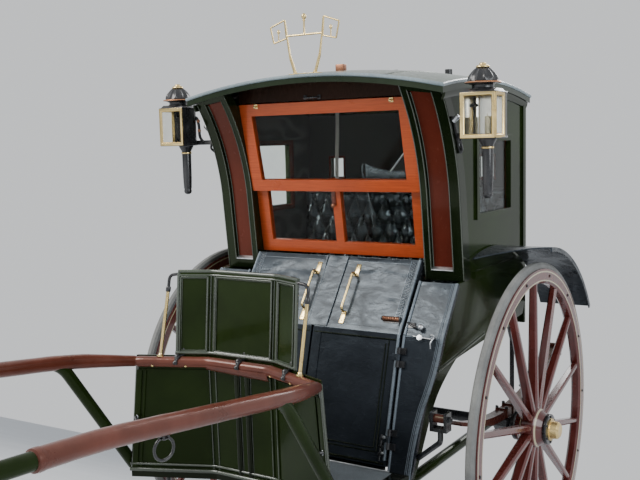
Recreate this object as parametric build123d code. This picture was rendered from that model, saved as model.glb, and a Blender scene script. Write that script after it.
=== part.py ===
from build123d import *
import math
import os

os.makedirs("parts", exist_ok=True)

# Hansom cab. Millimetres, +Z up, front towards -Y, +X is the carriage's left.
# Everything is drawn level, with the axle at Y 0, and is then tilted about
# the axle until the shaft tips stand on the floor, which is how it parks.

# wheels and axle
WHEEL_R = 700.0
TYRE_T = 26.0
TYRE_W = 34.0
FELLOE_T = 62.0
FELLOE_W = 46.0
SPOKES = 14
SPOKE_FOOT = (46.0, 30.0)
SPOKE_TOP = (30.0, 24.0)
HUB_R = 84.0
HUB_END_R = 62.0
HUB_L = 150.0
HUB_BAND = 16.0
TRACK_HALF = 790.0
AXLE_R = 23.0
HUB_BORE = 24.0
CAP_R = 38.0
CAP_L = 42.0

# body shell
BELT_HALF = 598.0
FLOOR_HALF = 524.0
WALL = 18.0
FLOOR_Z = 650.0
FLOOR_T = 25.0
FLANK_Y = -935.0
BELT_Z = 1350.0
SILL_Z = 1045.0
BODY_BACK = 430.0
BODY_TOP = 2400.0
BEAD = 9.0
PILLAR_IN = 423.0
PILLAR_T = 62.0

# roof, one curvature both ways
ROOF_FRONT = -508.0
ROOF_REAR = 452.0
ROOF_HALF = 618.0
ROOF_TOP = 2232.0
ROOF_R = 2820.0
ROOF_T = 32.0
ROOF_MID = -71.0
TRAP_HALF = 140.0
TRAP_Y = (110.0, 320.0)
TRAP_LAP = 16.0
TRAP_T = 14.0
SEAT = 0.3

HEADER_Y = -386.0
HEADER_T = 22.0
HEADER_Z = 2101.5

# doors
DOOR_OUT = 414.0
DOOR_T = 24.0
DOOR_GAP = 5.0
DOOR_EDGE = 20.0
DOOR_LAP = 9.0
DOOR_BEAD = 4.0
HINGE_X = 419.0
HINGE_OUT = 10.0
HINGE_RUNS = (90.0, 410.0)
KNUCKLE = 26.0
KNUCKLE_R = 8.0
PIN_R = 4.0
PIN_GAP = 0.08
FLAP_TOP = (-276.5, 1429.0)
KNEE = (-479.0, 1156.0)
DOOR_FOOT = (-626.0, 661.0)

# door handles, measured down the flap from its top edge
HANDLE = dict(
    x=dict(left=130.0, right=-66.0), bar=(90.0, 268.0), plates=((38.0, 96.0), (262.0, 317.0)),
    out=36.0, r=5.5, half=10.0,
)

# sashes
GLASS_HALF = 364.5
SASH_HALF = 422.7
SASH_T = 28.0
GLASS_T = 5.0
UPPER = dict(y=-298.0, z=1763.0, high=291.0, lean=12.6, top=52.0, foot=50.0)
LOWER = dict(y=-224.0, z=1487.0, high=236.0, lean=8.2, top=24.0, foot=54.0)
MUNTIN = 40.0
SIDE_WIN = dict(y0=-130.0, y1=232.0, z0=1614.0, z1=1912.0, frame=24.0)
BACK_WIN = dict(x0=375.0, x1=446.0, z0=1743.0, z1=1838.0, frame=14.0)

# dash
DASH_MID = 147.0
DASH_Y = -977.0
DASH_TOP_HALF = 422.0
DASH_FOOT_HALF = 466.0
DASH_SWEEP = 0.43
DASH_TOP_Z = 1118.7
DASH_BACK = 6.0
DASH_T = 10.0
RAIL_COVERS = 42.0
RAIL_Z = 1098.0
RAIL_R = 20.0
SCREEN_HALF = 278.0
SCREEN_Y = -945.0
SCREEN_BACK = -30.0
SCREEN_Z = (1119.0, 1437.0)
POST_X = 322.0
POST_Z = 1424.0
POST_R = 36.0

PLATE_MARGIN = 13.0
PLATE_BEAD = 6.0
PLATE_PROUD = 4.0

# shafts
SHAFT_X = 490.0
SHAFT_R = 22.5
TIP_R = 19.0
TIP_BARE = 420.0
TIP_TAPER = 60.0
SHAFT_TIP = (-2950.0, 1290.0)
SHAFT_BOW = (-2150.0, 1243.0)
SHAFT_BEND = (-1420.0, 1152.0)
SHAFT_LOW = (-1030.0, 602.0)
SHAFT_END = 590.0
SHAFT_FILLET = 150.0
COVER_R = 27.0
COVER_FRONT = -2350.0

# springs
SPRING_X = TRACK_HALF - 125.0
SPRING_W = 44.0
EYE_Y = 660.0
EYE_Z = WHEEL_R + 205.0
LEAF_T = 9.0
SPRING_LOW = WHEEL_R + 68.0

# rein guide, X and Z of its stems and loops
GUIDE = dict(
    y=-490.0, bar=2360.0, top=2442.0,
    stem=[(50.0, 2192.0), (72.0, 2275.0), (83.0, 2345.0), (94.0, 2405.0)],
    loop=[(95.0, 2425.0), (166.0, 2400.0), (151.0, 2335.0), (94.0, 2348.0)],
)

# driver's seat
DICKEY = dict(y0=600.0, y1=960.0, z=2000.0, half=235.0)

WHIP_X = 205.0

# how it stands
RISE = SHAFT_TIP[1] - WHEEL_R
REACH = -SHAFT_TIP[0]
TILT = math.degrees(
    math.asin((WHEEL_R - TIP_R) / math.hypot(RISE, REACH)) + math.atan2(RISE, REACH)
)
TIP_Y = -math.sqrt(RISE**2 + REACH**2 - (WHEEL_R - TIP_R) ** 2) - TIP_R
SHIFT = -(WHEEL_R + TIP_Y) / 2

made = {}


def keep(name, shape):
    """Put a level piece in its parked place under its name."""
    made[name] = (
        Pos(0, SHIFT, WHEEL_R) * Rot(TILT, 0, 0) * Pos(0, 0, -WHEEL_R) * shape
    )


def pair(name, shape):
    """A piece of the left side and its mirror on the right."""
    keep("left_" + name, shape)
    keep("right_" + name, mirror(shape, Plane.YZ))


def both(name, *shapes):
    """Pieces of the left side and their mirrors as one named part."""
    solids = []
    for shape in shapes:
        solids.extend(shape.solids())
        solids.extend(mirror(shape, Plane.YZ).solids())
    keep(name, Compound(children=solids))


def together(name, *shapes):
    """Several separate pieces of one material as one named part."""
    solids = []
    for shape in shapes:
        solids.extend(shape.solids())
    keep(name, Compound(children=solids))


def side_poly(points, x0, x1):
    """A closed outline in Y, Z run from x0 to x1."""
    face = Plane.YZ.offset(x0) * Polygon(*points, align=None)
    return extrude(face, x1 - x0, dir=(1, 0, 0))


def plan_poly(points, z0, z1):
    face = Plane.XY.offset(z0) * Polygon(*points, align=None)
    return extrude(face, z1 - z0, dir=(0, 0, 1))


def front_poly(points, y0, y1):
    face = Plane.XZ.offset(-y0) * Polygon(*points, align=None)
    return extrude(face, y1 - y0, dir=(0, 1, 0))


def block(x0, x1, y0, y1, z0, z1):
    return Pos((x0 + x1) / 2, (y0 + y1) / 2, (z0 + z1) / 2) * Box(
        abs(x1 - x0), abs(y1 - y0), abs(z1 - z0)
    )


def rod(a, b, radius):
    """A round bar from point a to point b."""
    a = Vector(*a)
    b = Vector(*b)
    return extrude(Plane(origin=a, z_dir=b - a) * Circle(radius), (b - a).length)


def disc(x0, x1, y, z, radius):
    return rod((x0, y, z), (x1, y, z), radius)


def bent(points, radius, fillet, sides=0):
    """A bar along a path with rounded corners, round or with flat sides."""
    path = FilletPolyline(*points, radius=fillet)
    start = Plane(origin=path @ 0, z_dir=path % 0)
    section = RegularPolygon(radius, sides) if sides else Circle(radius)
    return sweep(start * section, path=path)


def turned(profile, x, y, z, axis):
    """A round piece turned about an axis from an outline in radius, height."""
    outline = [(0, profile[0][1])] + profile + [(0, profile[-1][1])]
    face = Plane.XZ * Polygon(*outline, align=None)
    piece = revolve(face, Axis.Z)
    if axis == "X":
        piece = Rot(0, 90, 0) * piece
    return Pos(x, y, z) * piece


def hoop(profile, x):
    """A ring about the wheel's middle from an outline in X, radius."""
    face = Plane.XZ * Polygon(*profile, align=None)
    return Pos(x, 0, WHEEL_R) * revolve(face, Axis.X)


def moulding(x0, x1, z0, z1, y0, y1, width):
    """A rectangular frame of beading on an upright wall."""
    return block(x0, x1, y0, y1, z0, z1) - block(
        x0 + width, x1 - width, y0 - 5, y1 + 5, z0 + width, z1 - width
    )


def along(a, b, run):
    """The point a distance run from a towards b."""
    full = math.dist(a, b)
    return tuple(p + (q - p) * run / full for p, q in zip(a, b))


def behind(points, gap):
    """A line of Y, Z points moved back square to itself by gap."""
    out = []
    for i, p in enumerate(points):
        before = points[max(i - 1, 0)]
        after = points[min(i + 1, len(points) - 1)]
        n1 = normal(before, p) if i else normal(p, after)
        n2 = normal(p, after) if i < len(points) - 1 else n1
        scale = gap / (1 + n1[0] * n2[0] + n1[1] * n2[1])
        out.append((p[0] + (n1[0] + n2[0]) * scale, p[1] + (n1[1] + n2[1]) * scale))
    return out


def normal(p, q):
    """Backward unit normal of a line that runs down and forward."""
    run = math.dist(p, q)
    return (-(q[1] - p[1]) / run, (q[0] - p[0]) / run)


# shared shapes
ball_mid = (0, ROOF_MID, ROOF_TOP - ROOF_R)
def ball(radius):
    return Pos(*ball_mid) * Rot(90, 0, 0) * Sphere(radius)


dome = ball(ROOF_R)
under = ball(ROOF_R - ROOF_T)


def below_roof(shape):
    return shape & under


def front_region(back):
    """Side view of all that lies behind the curved front, moved back."""
    a = (-270.0 + back, BELT_Z)
    b = (-305.0 + back, 1680.0)
    c = (-505.0 + back, 2150.0)
    lines = [Line(a, b)]
    arc = TangentArc(b, c, tangent=(b[0] - a[0], b[1] - a[1]))
    lines.append(arc)
    lines.append(Polyline(c, (c[0], BODY_TOP), (900.0, BODY_TOP), (900.0, BELT_Z), a))
    return make_face(lines)


def front_solid(back, x0, x1):
    return extrude(Plane.YZ.offset(x0) * front_region(back), x1 - x0, dir=(1, 0, 0))


# turn-under of the lower sides, a curve that falls in from the belt to the floor
FLOOR_FOOT = FLOOR_Z - FLOOR_T
TURN_TOP = BELT_Z + 50.0
TURN_Z = BELT_Z - 190.0
TURN_MID = (BELT_HALF - 47.0, BELT_Z - 452.0)


def turn_body(inset):
    """All that lies inside the curved sides, moved in by inset."""
    top = (BELT_HALF - inset, TURN_TOP)
    knee = (BELT_HALF - inset, TURN_Z)
    foot = (FLOOR_HALF - inset, FLOOR_FOOT)
    curve = Spline(knee, (TURN_MID[0] - inset, TURN_MID[1]), foot, tangents=[(0, -1), (-0.2, -1)])
    rest = Polyline(foot, (0, FLOOR_FOOT), (0, TURN_TOP), top)
    face = make_face([Line(top, knee), curve, rest])
    return extrude(Plane.XZ.offset(900) * face, 1600, dir=(0, 1, 0))


turn_solid = turn_body(0)
turn_inner = turn_body(WALL)
front_line = [FLAP_TOP, KNEE, DOOR_FOOT]
foot_slope = (DOOR_FOOT[0] - KNEE[0]) / (DOOR_FOOT[1] - KNEE[1])
strip_foot = (KNEE[0] + foot_slope * (FLOOR_FOOT - KNEE[1]), FLOOR_FOOT)
leg_front = [(-332.0, BELT_Z), KNEE, strip_foot]
LEG_FOOT = (-598.0, FLOOR_FOOT)
LEG_BEND = (-455.0, 905.0)
LEG_TOP = (-330.0, SILL_Z)


def behind_leg(far):
    """Side view of all behind the leg's curved rear edge, to far."""
    straight = Line(LEG_FOOT, LEG_BEND)
    curve = TangentArc(LEG_BEND, LEG_TOP, tangent=straight % 1)
    rest = Polyline(LEG_TOP, (far, SILL_Z), (far, FLOOR_FOOT), LEG_FOOT)
    return make_face([straight, curve, rest])


rear_void = behind_leg(BODY_BACK + 100)

# roof and its trap
roof_box = block(-ROOF_HALF, ROOF_HALF, ROOF_FRONT, ROOF_REAR, 1900, 2400)
shell = (dome - under) & roof_box
trap_hole = block(-TRAP_HALF, TRAP_HALF, TRAP_Y[0], TRAP_Y[1], 1900, 2400)
trap_fill = block(
    -TRAP_HALF - TRAP_LAP, TRAP_HALF + TRAP_LAP,
    TRAP_Y[0] - TRAP_LAP, TRAP_Y[1] + TRAP_LAP, 1900, 2400,
)
keep("roof_shell", shell - trap_hole)
lid_shell = ball(ROOF_R + SEAT + TRAP_T) - ball(ROOF_R + SEAT)
lid = lid_shell & trap_fill
trap_axis_y = TRAP_Y[0] - TRAP_LAP - 8.0
trap_axis_z = math.sqrt(ROOF_R**2 - (trap_axis_y - ROOF_MID) ** 2) + ROOF_TOP - ROOF_R + 9.0
trap_hinge = []
for mid in (-95.0, 95.0):
    pin = disc(mid - 30, mid + 30, trap_axis_y, trap_axis_z, PIN_R)
    tube = disc(mid - 12, mid + 12, trap_axis_y, trap_axis_z, 6.0)
    tube = tube + block(mid - 12, mid + 12, trap_axis_y, trap_axis_y + 40, trap_axis_z, trap_axis_z + 6)
    lid = lid + (tube - disc(mid - 13, mid + 13, trap_axis_y, trap_axis_z, PIN_R + PIN_GAP))
    for s in (-1, 1):
        x0 = mid + s * 12.6
        x1 = mid + s * 30
        ear = disc(min(x0, x1), max(x0, x1), trap_axis_y, trap_axis_z, 6.0)
        ear = ear + block(x0, x1, trap_axis_y - 16, trap_axis_y + 4, trap_axis_z - 16, trap_axis_z)
        pin = pin + ear
    trap_hinge.append(pin - dome)
keep("roof_trap_lid", lid)
together("trap_hinges", *trap_hinge)

def dash_plan(half, y, out=0.0):
    """Three facets seen from above, the outer ones swept forward, set out square to each."""
    slant = math.hypot(1, DASH_SWEEP)
    mid = DASH_MID - out * (slant - 1) / DASH_SWEEP
    side = y - out * slant - (half - DASH_MID) * DASH_SWEEP
    return [(-half, side), (-mid, y - out), (mid, y - out), (half, side)]


# front pillars with the sunk panel
pillar = front_solid(0, PILLAR_IN, BELT_HALF) - front_solid(PILLAR_T, 0, 900)
pillar = below_roof(pillar)
sunk = front_solid(0, PILLAR_IN + 42, BELT_HALF - 46) - front_solid(6, 0, 900)
sunk = sunk & block(0, 900, -900, 0, BELT_Z + 85, 2060.0)
both("front_pillars", pillar - sunk)

# header board over the front windows
header = block(SEAT - PILLAR_IN, PILLAR_IN - SEAT, HEADER_Y, HEADER_Y + HEADER_T, HEADER_Z, BODY_TOP)
keep("front_header", below_roof(header))

# side panels above the belt, with the quarter window cut
out = BELT_HALF
side_top = front_solid(PILLAR_T, out - WALL, out)
side_top = side_top & block(0, out, -900, BODY_BACK, BELT_Z, BODY_TOP)
w = SIDE_WIN
side_hole = block(out - 90, out + 90, w["y0"], w["y1"], w["z0"], w["z1"])
window_edge = block(
    out, out + BEAD, w["y0"] - w["frame"], w["y1"] + w["frame"],
    w["z0"] - w["frame"], w["z1"] + w["frame"],
)
rear_post = block(out, out + BEAD, BODY_BACK - 34, BODY_BACK, BELT_Z + 30, BODY_TOP)
belt_bead = block(out, out + BEAD, -180, BODY_BACK, BELT_Z, BELT_Z + 30)
side_top = side_top + window_edge + rear_post + belt_bead
both("side_panels", below_roof(side_top) - side_hole)
side_glass = block(out - 12, out - 12 + GLASS_T, w["y0"], w["y1"], w["z0"], w["z1"])

# quarter panels below the belt with the forward leg
outline = leg_front + [LEG_FOOT, (BODY_BACK, FLOOR_FOOT), (BODY_BACK, BELT_Z)]
sill_rise = side_poly([LEG_TOP, (BODY_BACK, SILL_Z + 55), (BODY_BACK, SILL_Z)], 0, 700)
hollow = extrude(Plane.YZ * rear_void, 700, dir=(1, 0, 0)) + sill_rise
side_all = (side_poly(outline, 0, 700) - hollow) & turn_solid
quarter = side_all - turn_inner
strip = leg_front + list(reversed(behind(leg_front, WALL)))
strip_all = side_poly(strip, PILLAR_IN + 3, 700)
both("quarter_panels", quarter - side_poly(strip, 0, 700))
both("front_strips", strip_all & turn_solid)

# floor, heel board, back and seat base
dash_foot = dash_plan(DASH_FOOT_HALF, DASH_Y + DASH_BACK)
flank = [(FLOOR_HALF - 2, -640.0), (DASH_FOOT_HALF, FLANK_Y)]
plan = [(-x, y) for x, y in flank] + dash_foot + list(reversed(flank))
keep("floor", plan_poly(plan + [(400, -640), (400, -600), (-400, -600), (-400, -640)],
                        FLOOR_FOOT, FLOOR_Z))
heel_skin = rear_void - offset(rear_void, amount=-WALL)
heel = extrude(Plane.YZ.offset(-600) * heel_skin, 1200, dir=(1, 0, 0))
heel = heel & block(-600, 600, -700, LEG_TOP[0] + 14, FLOOR_Z, SILL_Z)
keep("heel_board", heel & (turn_inner + mirror(turn_inner, Plane.YZ)))
inner = BELT_HALF - WALL
back = block(-BELT_HALF, BELT_HALF, BODY_BACK, BODY_BACK + WALL, SILL_Z + 10, BODY_TOP)
w = BACK_WIN
behind_y = BODY_BACK + WALL
for s in (-1, 1):
    x0, x1 = sorted((s * w["x0"], s * w["x1"]))
    f = w["frame"]
    back = back + block(x0 - f, x1 + f, behind_y, behind_y + BEAD, w["z0"] - f, w["z1"] + f)
    back = back - block(x0, x1, 300, 600, w["z0"], w["z1"])
back = back + moulding(-540, 540, BELT_Z + 60, 1700, behind_y, behind_y + BEAD, 22)
back = back + moulding(-540, 540, 1110, BELT_Z - 60, behind_y, behind_y + BEAD, 22)
keep("back_panel", below_roof(back))
rear_glass = block(w["x0"], w["x1"], BODY_BACK + 7, BODY_BACK + 7 + GLASS_T, w["z0"], w["z1"])
SEAT_Z = 1130.0
base = block(-inner + 26, inner - 26, -330, BODY_BACK, SILL_Z, SEAT_Z)
base = base - block(-inner + 42, inner - 42, -308, BODY_BACK - 22, SILL_Z - 10, SEAT_Z - 24)
keep("seat_base", base)
both("cabin_glass", side_glass, rear_glass)
cushion = block(-inner + 24, inner - 24, -325, 268, SEAT_Z, SEAT_Z + 115)
keep("seat_cushion", chamfer(cushion.edges(), 26))
rest = side_poly([(270, SEAT_Z), (322, 1690), (420, 1690), (420, SEAT_Z)], -inner + 24, inner - 24)
keep("seat_back", chamfer(rest.edges(), 22))


# sashes
def sash(spec, bars):
    half = SASH_HALF
    frame = block(-half, half, -SASH_T / 2, SASH_T / 2, -spec["foot"], spec["high"] + spec["top"])
    for x0, x1 in bars:
        frame = frame - block(x0, x1, -SASH_T, SASH_T, 0, spec["high"])
    return Pos(0, spec["y"], spec["z"]) * Rot(spec["lean"], 0, 0) * frame


def pane(spec, x0, x1):
    glass = block(x0, x1, -GLASS_T / 2, GLASS_T / 2, 0, spec["high"])
    return Pos(0, spec["y"], spec["z"]) * Rot(spec["lean"], 0, 0) * glass


upper_bars = [(-GLASS_HALF, GLASS_HALF)]
lower_bars = [(-GLASS_HALF, -MUNTIN / 2), (MUNTIN / 2, GLASS_HALF)]
keep("upper_sash", sash(UPPER, upper_bars))
keep("lower_sash", sash(LOWER, lower_bars))
together("front_glass", pane(UPPER, *upper_bars[0]), *[pane(LOWER, *b) for b in lower_bars])

# doors: a sloping flap over a nearly upright leaf, tapered at the meeting edge
door_line = [FLAP_TOP, KNEE, DOOR_FOOT]
door_band = door_line + list(reversed(behind(door_line, DOOR_T)))
lean = math.dist(KNEE, DOOR_FOOT)
down = ((DOOR_FOOT[0] - KNEE[0]) / lean, (DOOR_FOOT[1] - KNEE[1]) / lean)
depth = abs((FLAP_TOP[0] - KNEE[0]) * down[1] - (FLAP_TOP[1] - KNEE[1]) * down[0])
swing = HINGE_X - DOOR_GAP
flap_in = HINGE_X - math.sqrt(swing**2 - (depth + HINGE_OUT + DOOR_T) ** 2) + 3
door = side_poly(door_band, 0, DOOR_OUT)
edge_band = behind(door_line, -DOOR_BEAD) + list(reversed(door_line))
door = door + side_poly(edge_band, 0, flap_in + DOOR_LAP)
knee_top = along(KNEE, FLAP_TOP, DOOR_EDGE)
knee_low = along(KNEE, DOOR_FOOT, DOOR_EDGE)
knee_band = [knee_top, KNEE, knee_low]
door = door + side_poly(behind(knee_band, -DOOR_BEAD) + list(reversed(knee_band)), 0, DOOR_OUT)
taper = [
    (DOOR_GAP, 0.0), (DOOR_GAP, KNEE[1] - 10), (flap_in, FLAP_TOP[1] - 30),
    (flap_in, 1500.0), (DOOR_OUT, 1500.0), (DOOR_OUT, 0.0),
]
door = door & front_poly(taper, -900.0, 0.0)


# hinges of the doors, their axis just proud of the lower leaf
def hinge_at(run, out=HINGE_OUT):
    y, z = along(KNEE, DOOR_FOOT, run)
    n = normal(KNEE, DOOR_FOOT)
    return (y - n[0] * out, z - n[1] * out)


def leaf_plate(x0, x1, a, b, out):
    """A thin plate lying on the front of the lower leaf."""
    corners = [hinge_at(a, 0), hinge_at(b, 0), hinge_at(b, out), hinge_at(a, out)]
    return side_poly(corners, x0, x1)


hinges = []
for mid in HINGE_RUNS:
    low = mid - KNUCKLE / 2
    high = mid + KNUCKLE / 2
    pin = rod((HINGE_X,) + hinge_at(low - KNUCKLE), (HINGE_X,) + hinge_at(high + KNUCKLE), PIN_R)
    for a, b in ((low - KNUCKLE, low - 0.6), (high + 0.6, high + KNUCKLE)):
        pin = pin + rod((HINGE_X,) + hinge_at(a), (HINGE_X,) + hinge_at(b), KNUCKLE_R)
        pin = pin + leaf_plate(HINGE_X, HINGE_X + 30, a, b, HINGE_OUT)
    hinges.append(pin)
    tube = rod((HINGE_X,) + hinge_at(low), (HINGE_X,) + hinge_at(high), KNUCKLE_R)
    tube = tube + leaf_plate(HINGE_X - 30, HINGE_X, low, high, HINGE_OUT)
    bore = rod((HINGE_X,) + hinge_at(low - 5), (HINGE_X,) + hinge_at(high + 5), PIN_R + PIN_GAP)
    door = door + (tube - bore)
pair("door", door)
both("door_hinges", *hinges)


# brass door handle
def on_flap(run, out):
    """Point on the flap, run down from its top edge and out from it."""
    n = normal(FLAP_TOP, KNEE)
    y, z = along(FLAP_TOP, KNEE, run)
    return (y - n[0] * out, z - n[1] * out)


def flap_plate(x0, x1, a, b, thick):
    """A plate seated on the flap from run a to run b."""
    corners = [on_flap(a, SEAT), on_flap(b, SEAT), on_flap(b, thick), on_flap(a, thick)]
    return side_poly(corners, x0, x1)


for side, x in HANDLE["x"].items():
    low, high = HANDLE["bar"]
    out = HANDLE["out"]
    handle = bent(
        [(x,) + on_flap(low, 3), (x,) + on_flap(low + 6, out),
         (x,) + on_flap(high - 6, out), (x,) + on_flap(high, 3)],
        HANDLE["r"], 6.0, 8,
    )
    for a, b in HANDLE["plates"]:
        handle = handle + flap_plate(x - HANDLE["half"], x + HANDLE["half"], a, b, 5.0)
    keep(side + "_door_handle", handle - side_poly(door_band, -200, 200))


# dash
def facets(top_half, foot_half, y, z0, z1, back, thick):
    """A faceted upright panel that leans forward at the top by back."""
    top = dash_plan(top_half, y)
    foot = dash_plan(foot_half, y + back)
    def ring(points, z):
        rear = [(x, yy + thick) for x, yy in reversed(points)]
        return Plane.XY.offset(z) * Polygon(*points, *rear, align=None)
    return loft([ring(foot, z0), ring(top, z1)], ruled=True)


def facet_frame(corners):
    """A raised moulding round the front of one flat facet, its corners foot first."""
    points = [Vector(*c) for c in corners]
    mid = sum(points, Vector(0, 0, 0)) / 4
    flat = Plane(origin=mid, x_dir=points[1] - points[0], z_dir=facet_normal(points))
    outline = make_face(Polyline(*[flat.to_local_coords(p) for p in points], close=True))
    outer = offset(outline, amount=-PLATE_MARGIN, kind=Kind.INTERSECTION)
    rim = outer - offset(outer, amount=-PLATE_BEAD, kind=Kind.INTERSECTION)
    return extrude(flat * rim, PLATE_PROUD, dir=flat.z_dir)


def facet_normal(points):
    n = (points[1] - points[0]).cross(points[3] - points[0]).normalized()
    return n if n.Y < 0 else -n


def framed(top_half, foot_half, y, z0, z1, back, drop=0.0):
    """A faceted panel, each facet with a moulding that starts a drop below its top."""
    panel = facets(top_half, foot_half, y, z0, z1, back, DASH_T)
    part = drop / (z1 - z0)
    top = dash_plan(top_half + (foot_half - top_half) * part, y + back * part)
    foot = dash_plan(foot_half, y + back)
    z2 = z1 - drop
    for i in range(3):
        corners = [foot[i] + (z0,), foot[i + 1] + (z0,), top[i + 1] + (z2,), top[i] + (z2,)]
        panel = panel + facet_frame(corners)
    return panel


z0, z1 = SCREEN_Z
keep("dash_panel", framed(
    DASH_TOP_HALF, DASH_FOOT_HALF, DASH_Y, FLOOR_Z, DASH_TOP_Z, DASH_BACK, RAIL_COVERS,
))
keep("dash_screen", framed(SCREEN_HALF, SCREEN_HALF, SCREEN_Y, z0, z1, SCREEN_BACK))
rail_face = DASH_Y + DASH_BACK * (DASH_TOP_Z - RAIL_Z) / (DASH_TOP_Z - FLOOR_Z)
rail_plan = dash_plan(DASH_TOP_HALF - 10, rail_face, RAIL_R + SEAT)
rail_points = [(x, y, RAIL_Z) for x, y in rail_plan]
dash_rail = bent(rail_points, RAIL_R, 30.0)
post_y = dash_plan(POST_X, rail_face, RAIL_R + SEAT)[3][1]
edge_y = dash_plan(SCREEN_HALF, SCREEN_Y + DASH_T / 2)[3][1]
post = bent(
    [(POST_X, post_y, RAIL_Z), (POST_X, edge_y, POST_Z), (SCREEN_HALF + SEAT, edge_y, POST_Z)],
    9.0, POST_R, 8,
)
both("dash_posts", post - bent(rail_points, RAIL_R + 0.3, 30.0))

# shafts with their padded covers
rise_front = (SHAFT_TIP[1] - SHAFT_BOW[1]) / (SHAFT_TIP[0] - SHAFT_BOW[0])
rise_back = (SHAFT_BOW[1] - SHAFT_BEND[1]) / (SHAFT_BOW[0] - SHAFT_BEND[0])
tip = (SHAFT_X,) + SHAFT_TIP
bow = (SHAFT_X,) + SHAFT_BOW
neck = along(tip, bow, TIP_BARE)
full = along(tip, bow, TIP_BARE + TIP_TAPER)
shaft_path = [
    full, bow, (SHAFT_X,) + SHAFT_BEND,
    (SHAFT_X,) + SHAFT_LOW, (SHAFT_X, SHAFT_END, SHAFT_LOW[1]),
]
shaft = bent(shaft_path, SHAFT_R, SHAFT_FILLET)
tip_line = Vector(*bow) - Vector(*tip)
cone = loft([
    Plane(origin=neck, z_dir=tip_line) * Circle(TIP_R),
    Plane(origin=full, z_dir=tip_line) * Circle(SHAFT_R),
])
shaft = shaft + cone + rod(tip, neck, TIP_R) + Pos(*tip) * Sphere(TIP_R)
pair("shaft", shaft)
cover_tip = (SHAFT_X, COVER_FRONT, SHAFT_BOW[1] + rise_front * (COVER_FRONT - SHAFT_BOW[0]))
cover_end = (SHAFT_X, SHAFT_BEND[0] + 60, SHAFT_BEND[1] + rise_back * 60)
corner = rail_plan[3]
cover = rod(cover_tip, bow, COVER_R) + Pos(*bow) * Sphere(COVER_R)
cover = cover + rod(bow, cover_end, COVER_R) + Pos(*cover_end) * Sphere(COVER_R)
cover = cover + rod(cover_end, (corner[0] + 12, corner[1] - 24, RAIL_Z), COVER_R)
cover = cover - shaft
together("padded_rail", dash_rail - cover - mirror(cover, Plane.YZ), cover, mirror(cover, Plane.YZ))

# axle, springs and their hangers
hub_in = TRACK_HALF - HUB_L / 2
axle = disc(-TRACK_HALF - 72, TRACK_HALF + 72, 0, WHEEL_R, AXLE_R)
for s in (-1, 1):
    axle = axle + disc(*sorted((s * (hub_in - 18), s * (hub_in - 6))), 0, WHEEL_R, AXLE_R + 12)
keep("axle", axle)


def leaf(level, half, sag):
    """One curved leaf, its middle at a height, as a bent strip."""
    top = ThreePointArc((-half, level + sag), (0, level), (half, level + sag))
    low = ThreePointArc((-half, level + sag - LEAF_T), (0, level - LEAF_T), (half, level + sag - LEAF_T))
    ends = [
        Line((-half, level + sag), (-half, level + sag - LEAF_T)),
        Line((half, level + sag), (half, level + sag - LEAF_T)),
    ]
    face = make_face([top, low] + ends)
    return extrude(Plane.YZ.offset(SPRING_X - SPRING_W / 2) * face, SPRING_W, dir=(1, 0, 0))


sag = EYE_Z - SPRING_LOW
spring = leaf(SPRING_LOW, EYE_Y, sag)
for i, share in enumerate((0.78, 0.55, 0.32)):
    level = SPRING_LOW - (i + 1) * (LEAF_T - 0.5)
    spring = spring + leaf(level, EYE_Y * share, sag * share**2)
for end in (-EYE_Y, EYE_Y):
    spring = spring + disc(SPRING_X - SPRING_W / 2, SPRING_X + SPRING_W / 2, end, EYE_Z - 4, 16.0)
for y in (-38.0, 38.0):
    clip = block(
        SPRING_X - SPRING_W / 2 - 5, SPRING_X + SPRING_W / 2 + 5, y - 6, y + 6,
        SPRING_LOW - 3 * LEAF_T - 6, SPRING_LOW + 7,
    )
    spring = spring + clip
both("springs", spring)
seat_top = SPRING_LOW - 3 * (LEAF_T - 0.5) - LEAF_T - 0.3
saddle = side_poly(
    [(-30, WHEEL_R - 36), (-64, WHEEL_R + 4), (-64, seat_top), (64, seat_top),
     (64, WHEEL_R + 4), (30, WHEEL_R - 36)],
    SPRING_X - 30, SPRING_X + 30,
)
for y in (-38.0, 38.0):
    saddle = saddle - block(SPRING_X - 40, SPRING_X + 40, y - 9, y + 9, seat_top - 4, seat_top + 9)
saddle = saddle - disc(SPRING_X - 40, SPRING_X + 40, 0, WHEEL_R, AXLE_R)
both("axle_saddles", saddle)


def hanger(end, foot):
    """Clevis round a spring eye and the bent iron that carries it."""
    y, z = end
    cheeks = block(SPRING_X - 34, SPRING_X - SPRING_W / 2 - 0.3, y - 22, y + 22, z - 34, z + 26)
    cheeks = cheeks + block(SPRING_X + SPRING_W / 2 + 0.3, SPRING_X + 34, y - 22, y + 22, z - 34, z + 26)
    cheeks = cheeks + block(SPRING_X - 34, SPRING_X + 34, y - 22, y + 22, z - 46, z - 34)
    return cheeks + bent([(SPRING_X, y, z - 44), (SPRING_X, y, z - 90), foot], 11.0, 30.0, 8)


front_iron = hanger((-EYE_Y, EYE_Z - 4), (SHAFT_X + 40, -575.0, 700.0))
rear_iron = hanger((EYE_Y, EYE_Z - 4), (SHAFT_X + SHAFT_R + 14, SHAFT_END - 20, 700.0))
stay_y = BODY_BACK + WALL + BEAD + 12 + SEAT
stay = bent(
    [(SHAFT_X, SHAFT_END - 30, SHAFT_LOW[1] + SHAFT_R + SEAT), (SHAFT_X, SHAFT_END - 30, 940),
     (SHAFT_X, stay_y, 1100), (SHAFT_X, stay_y, 1300)],
    12.0, 40.0, 8,
)
both("spring_irons", front_iron - side_all, rear_iron, stay)


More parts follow.
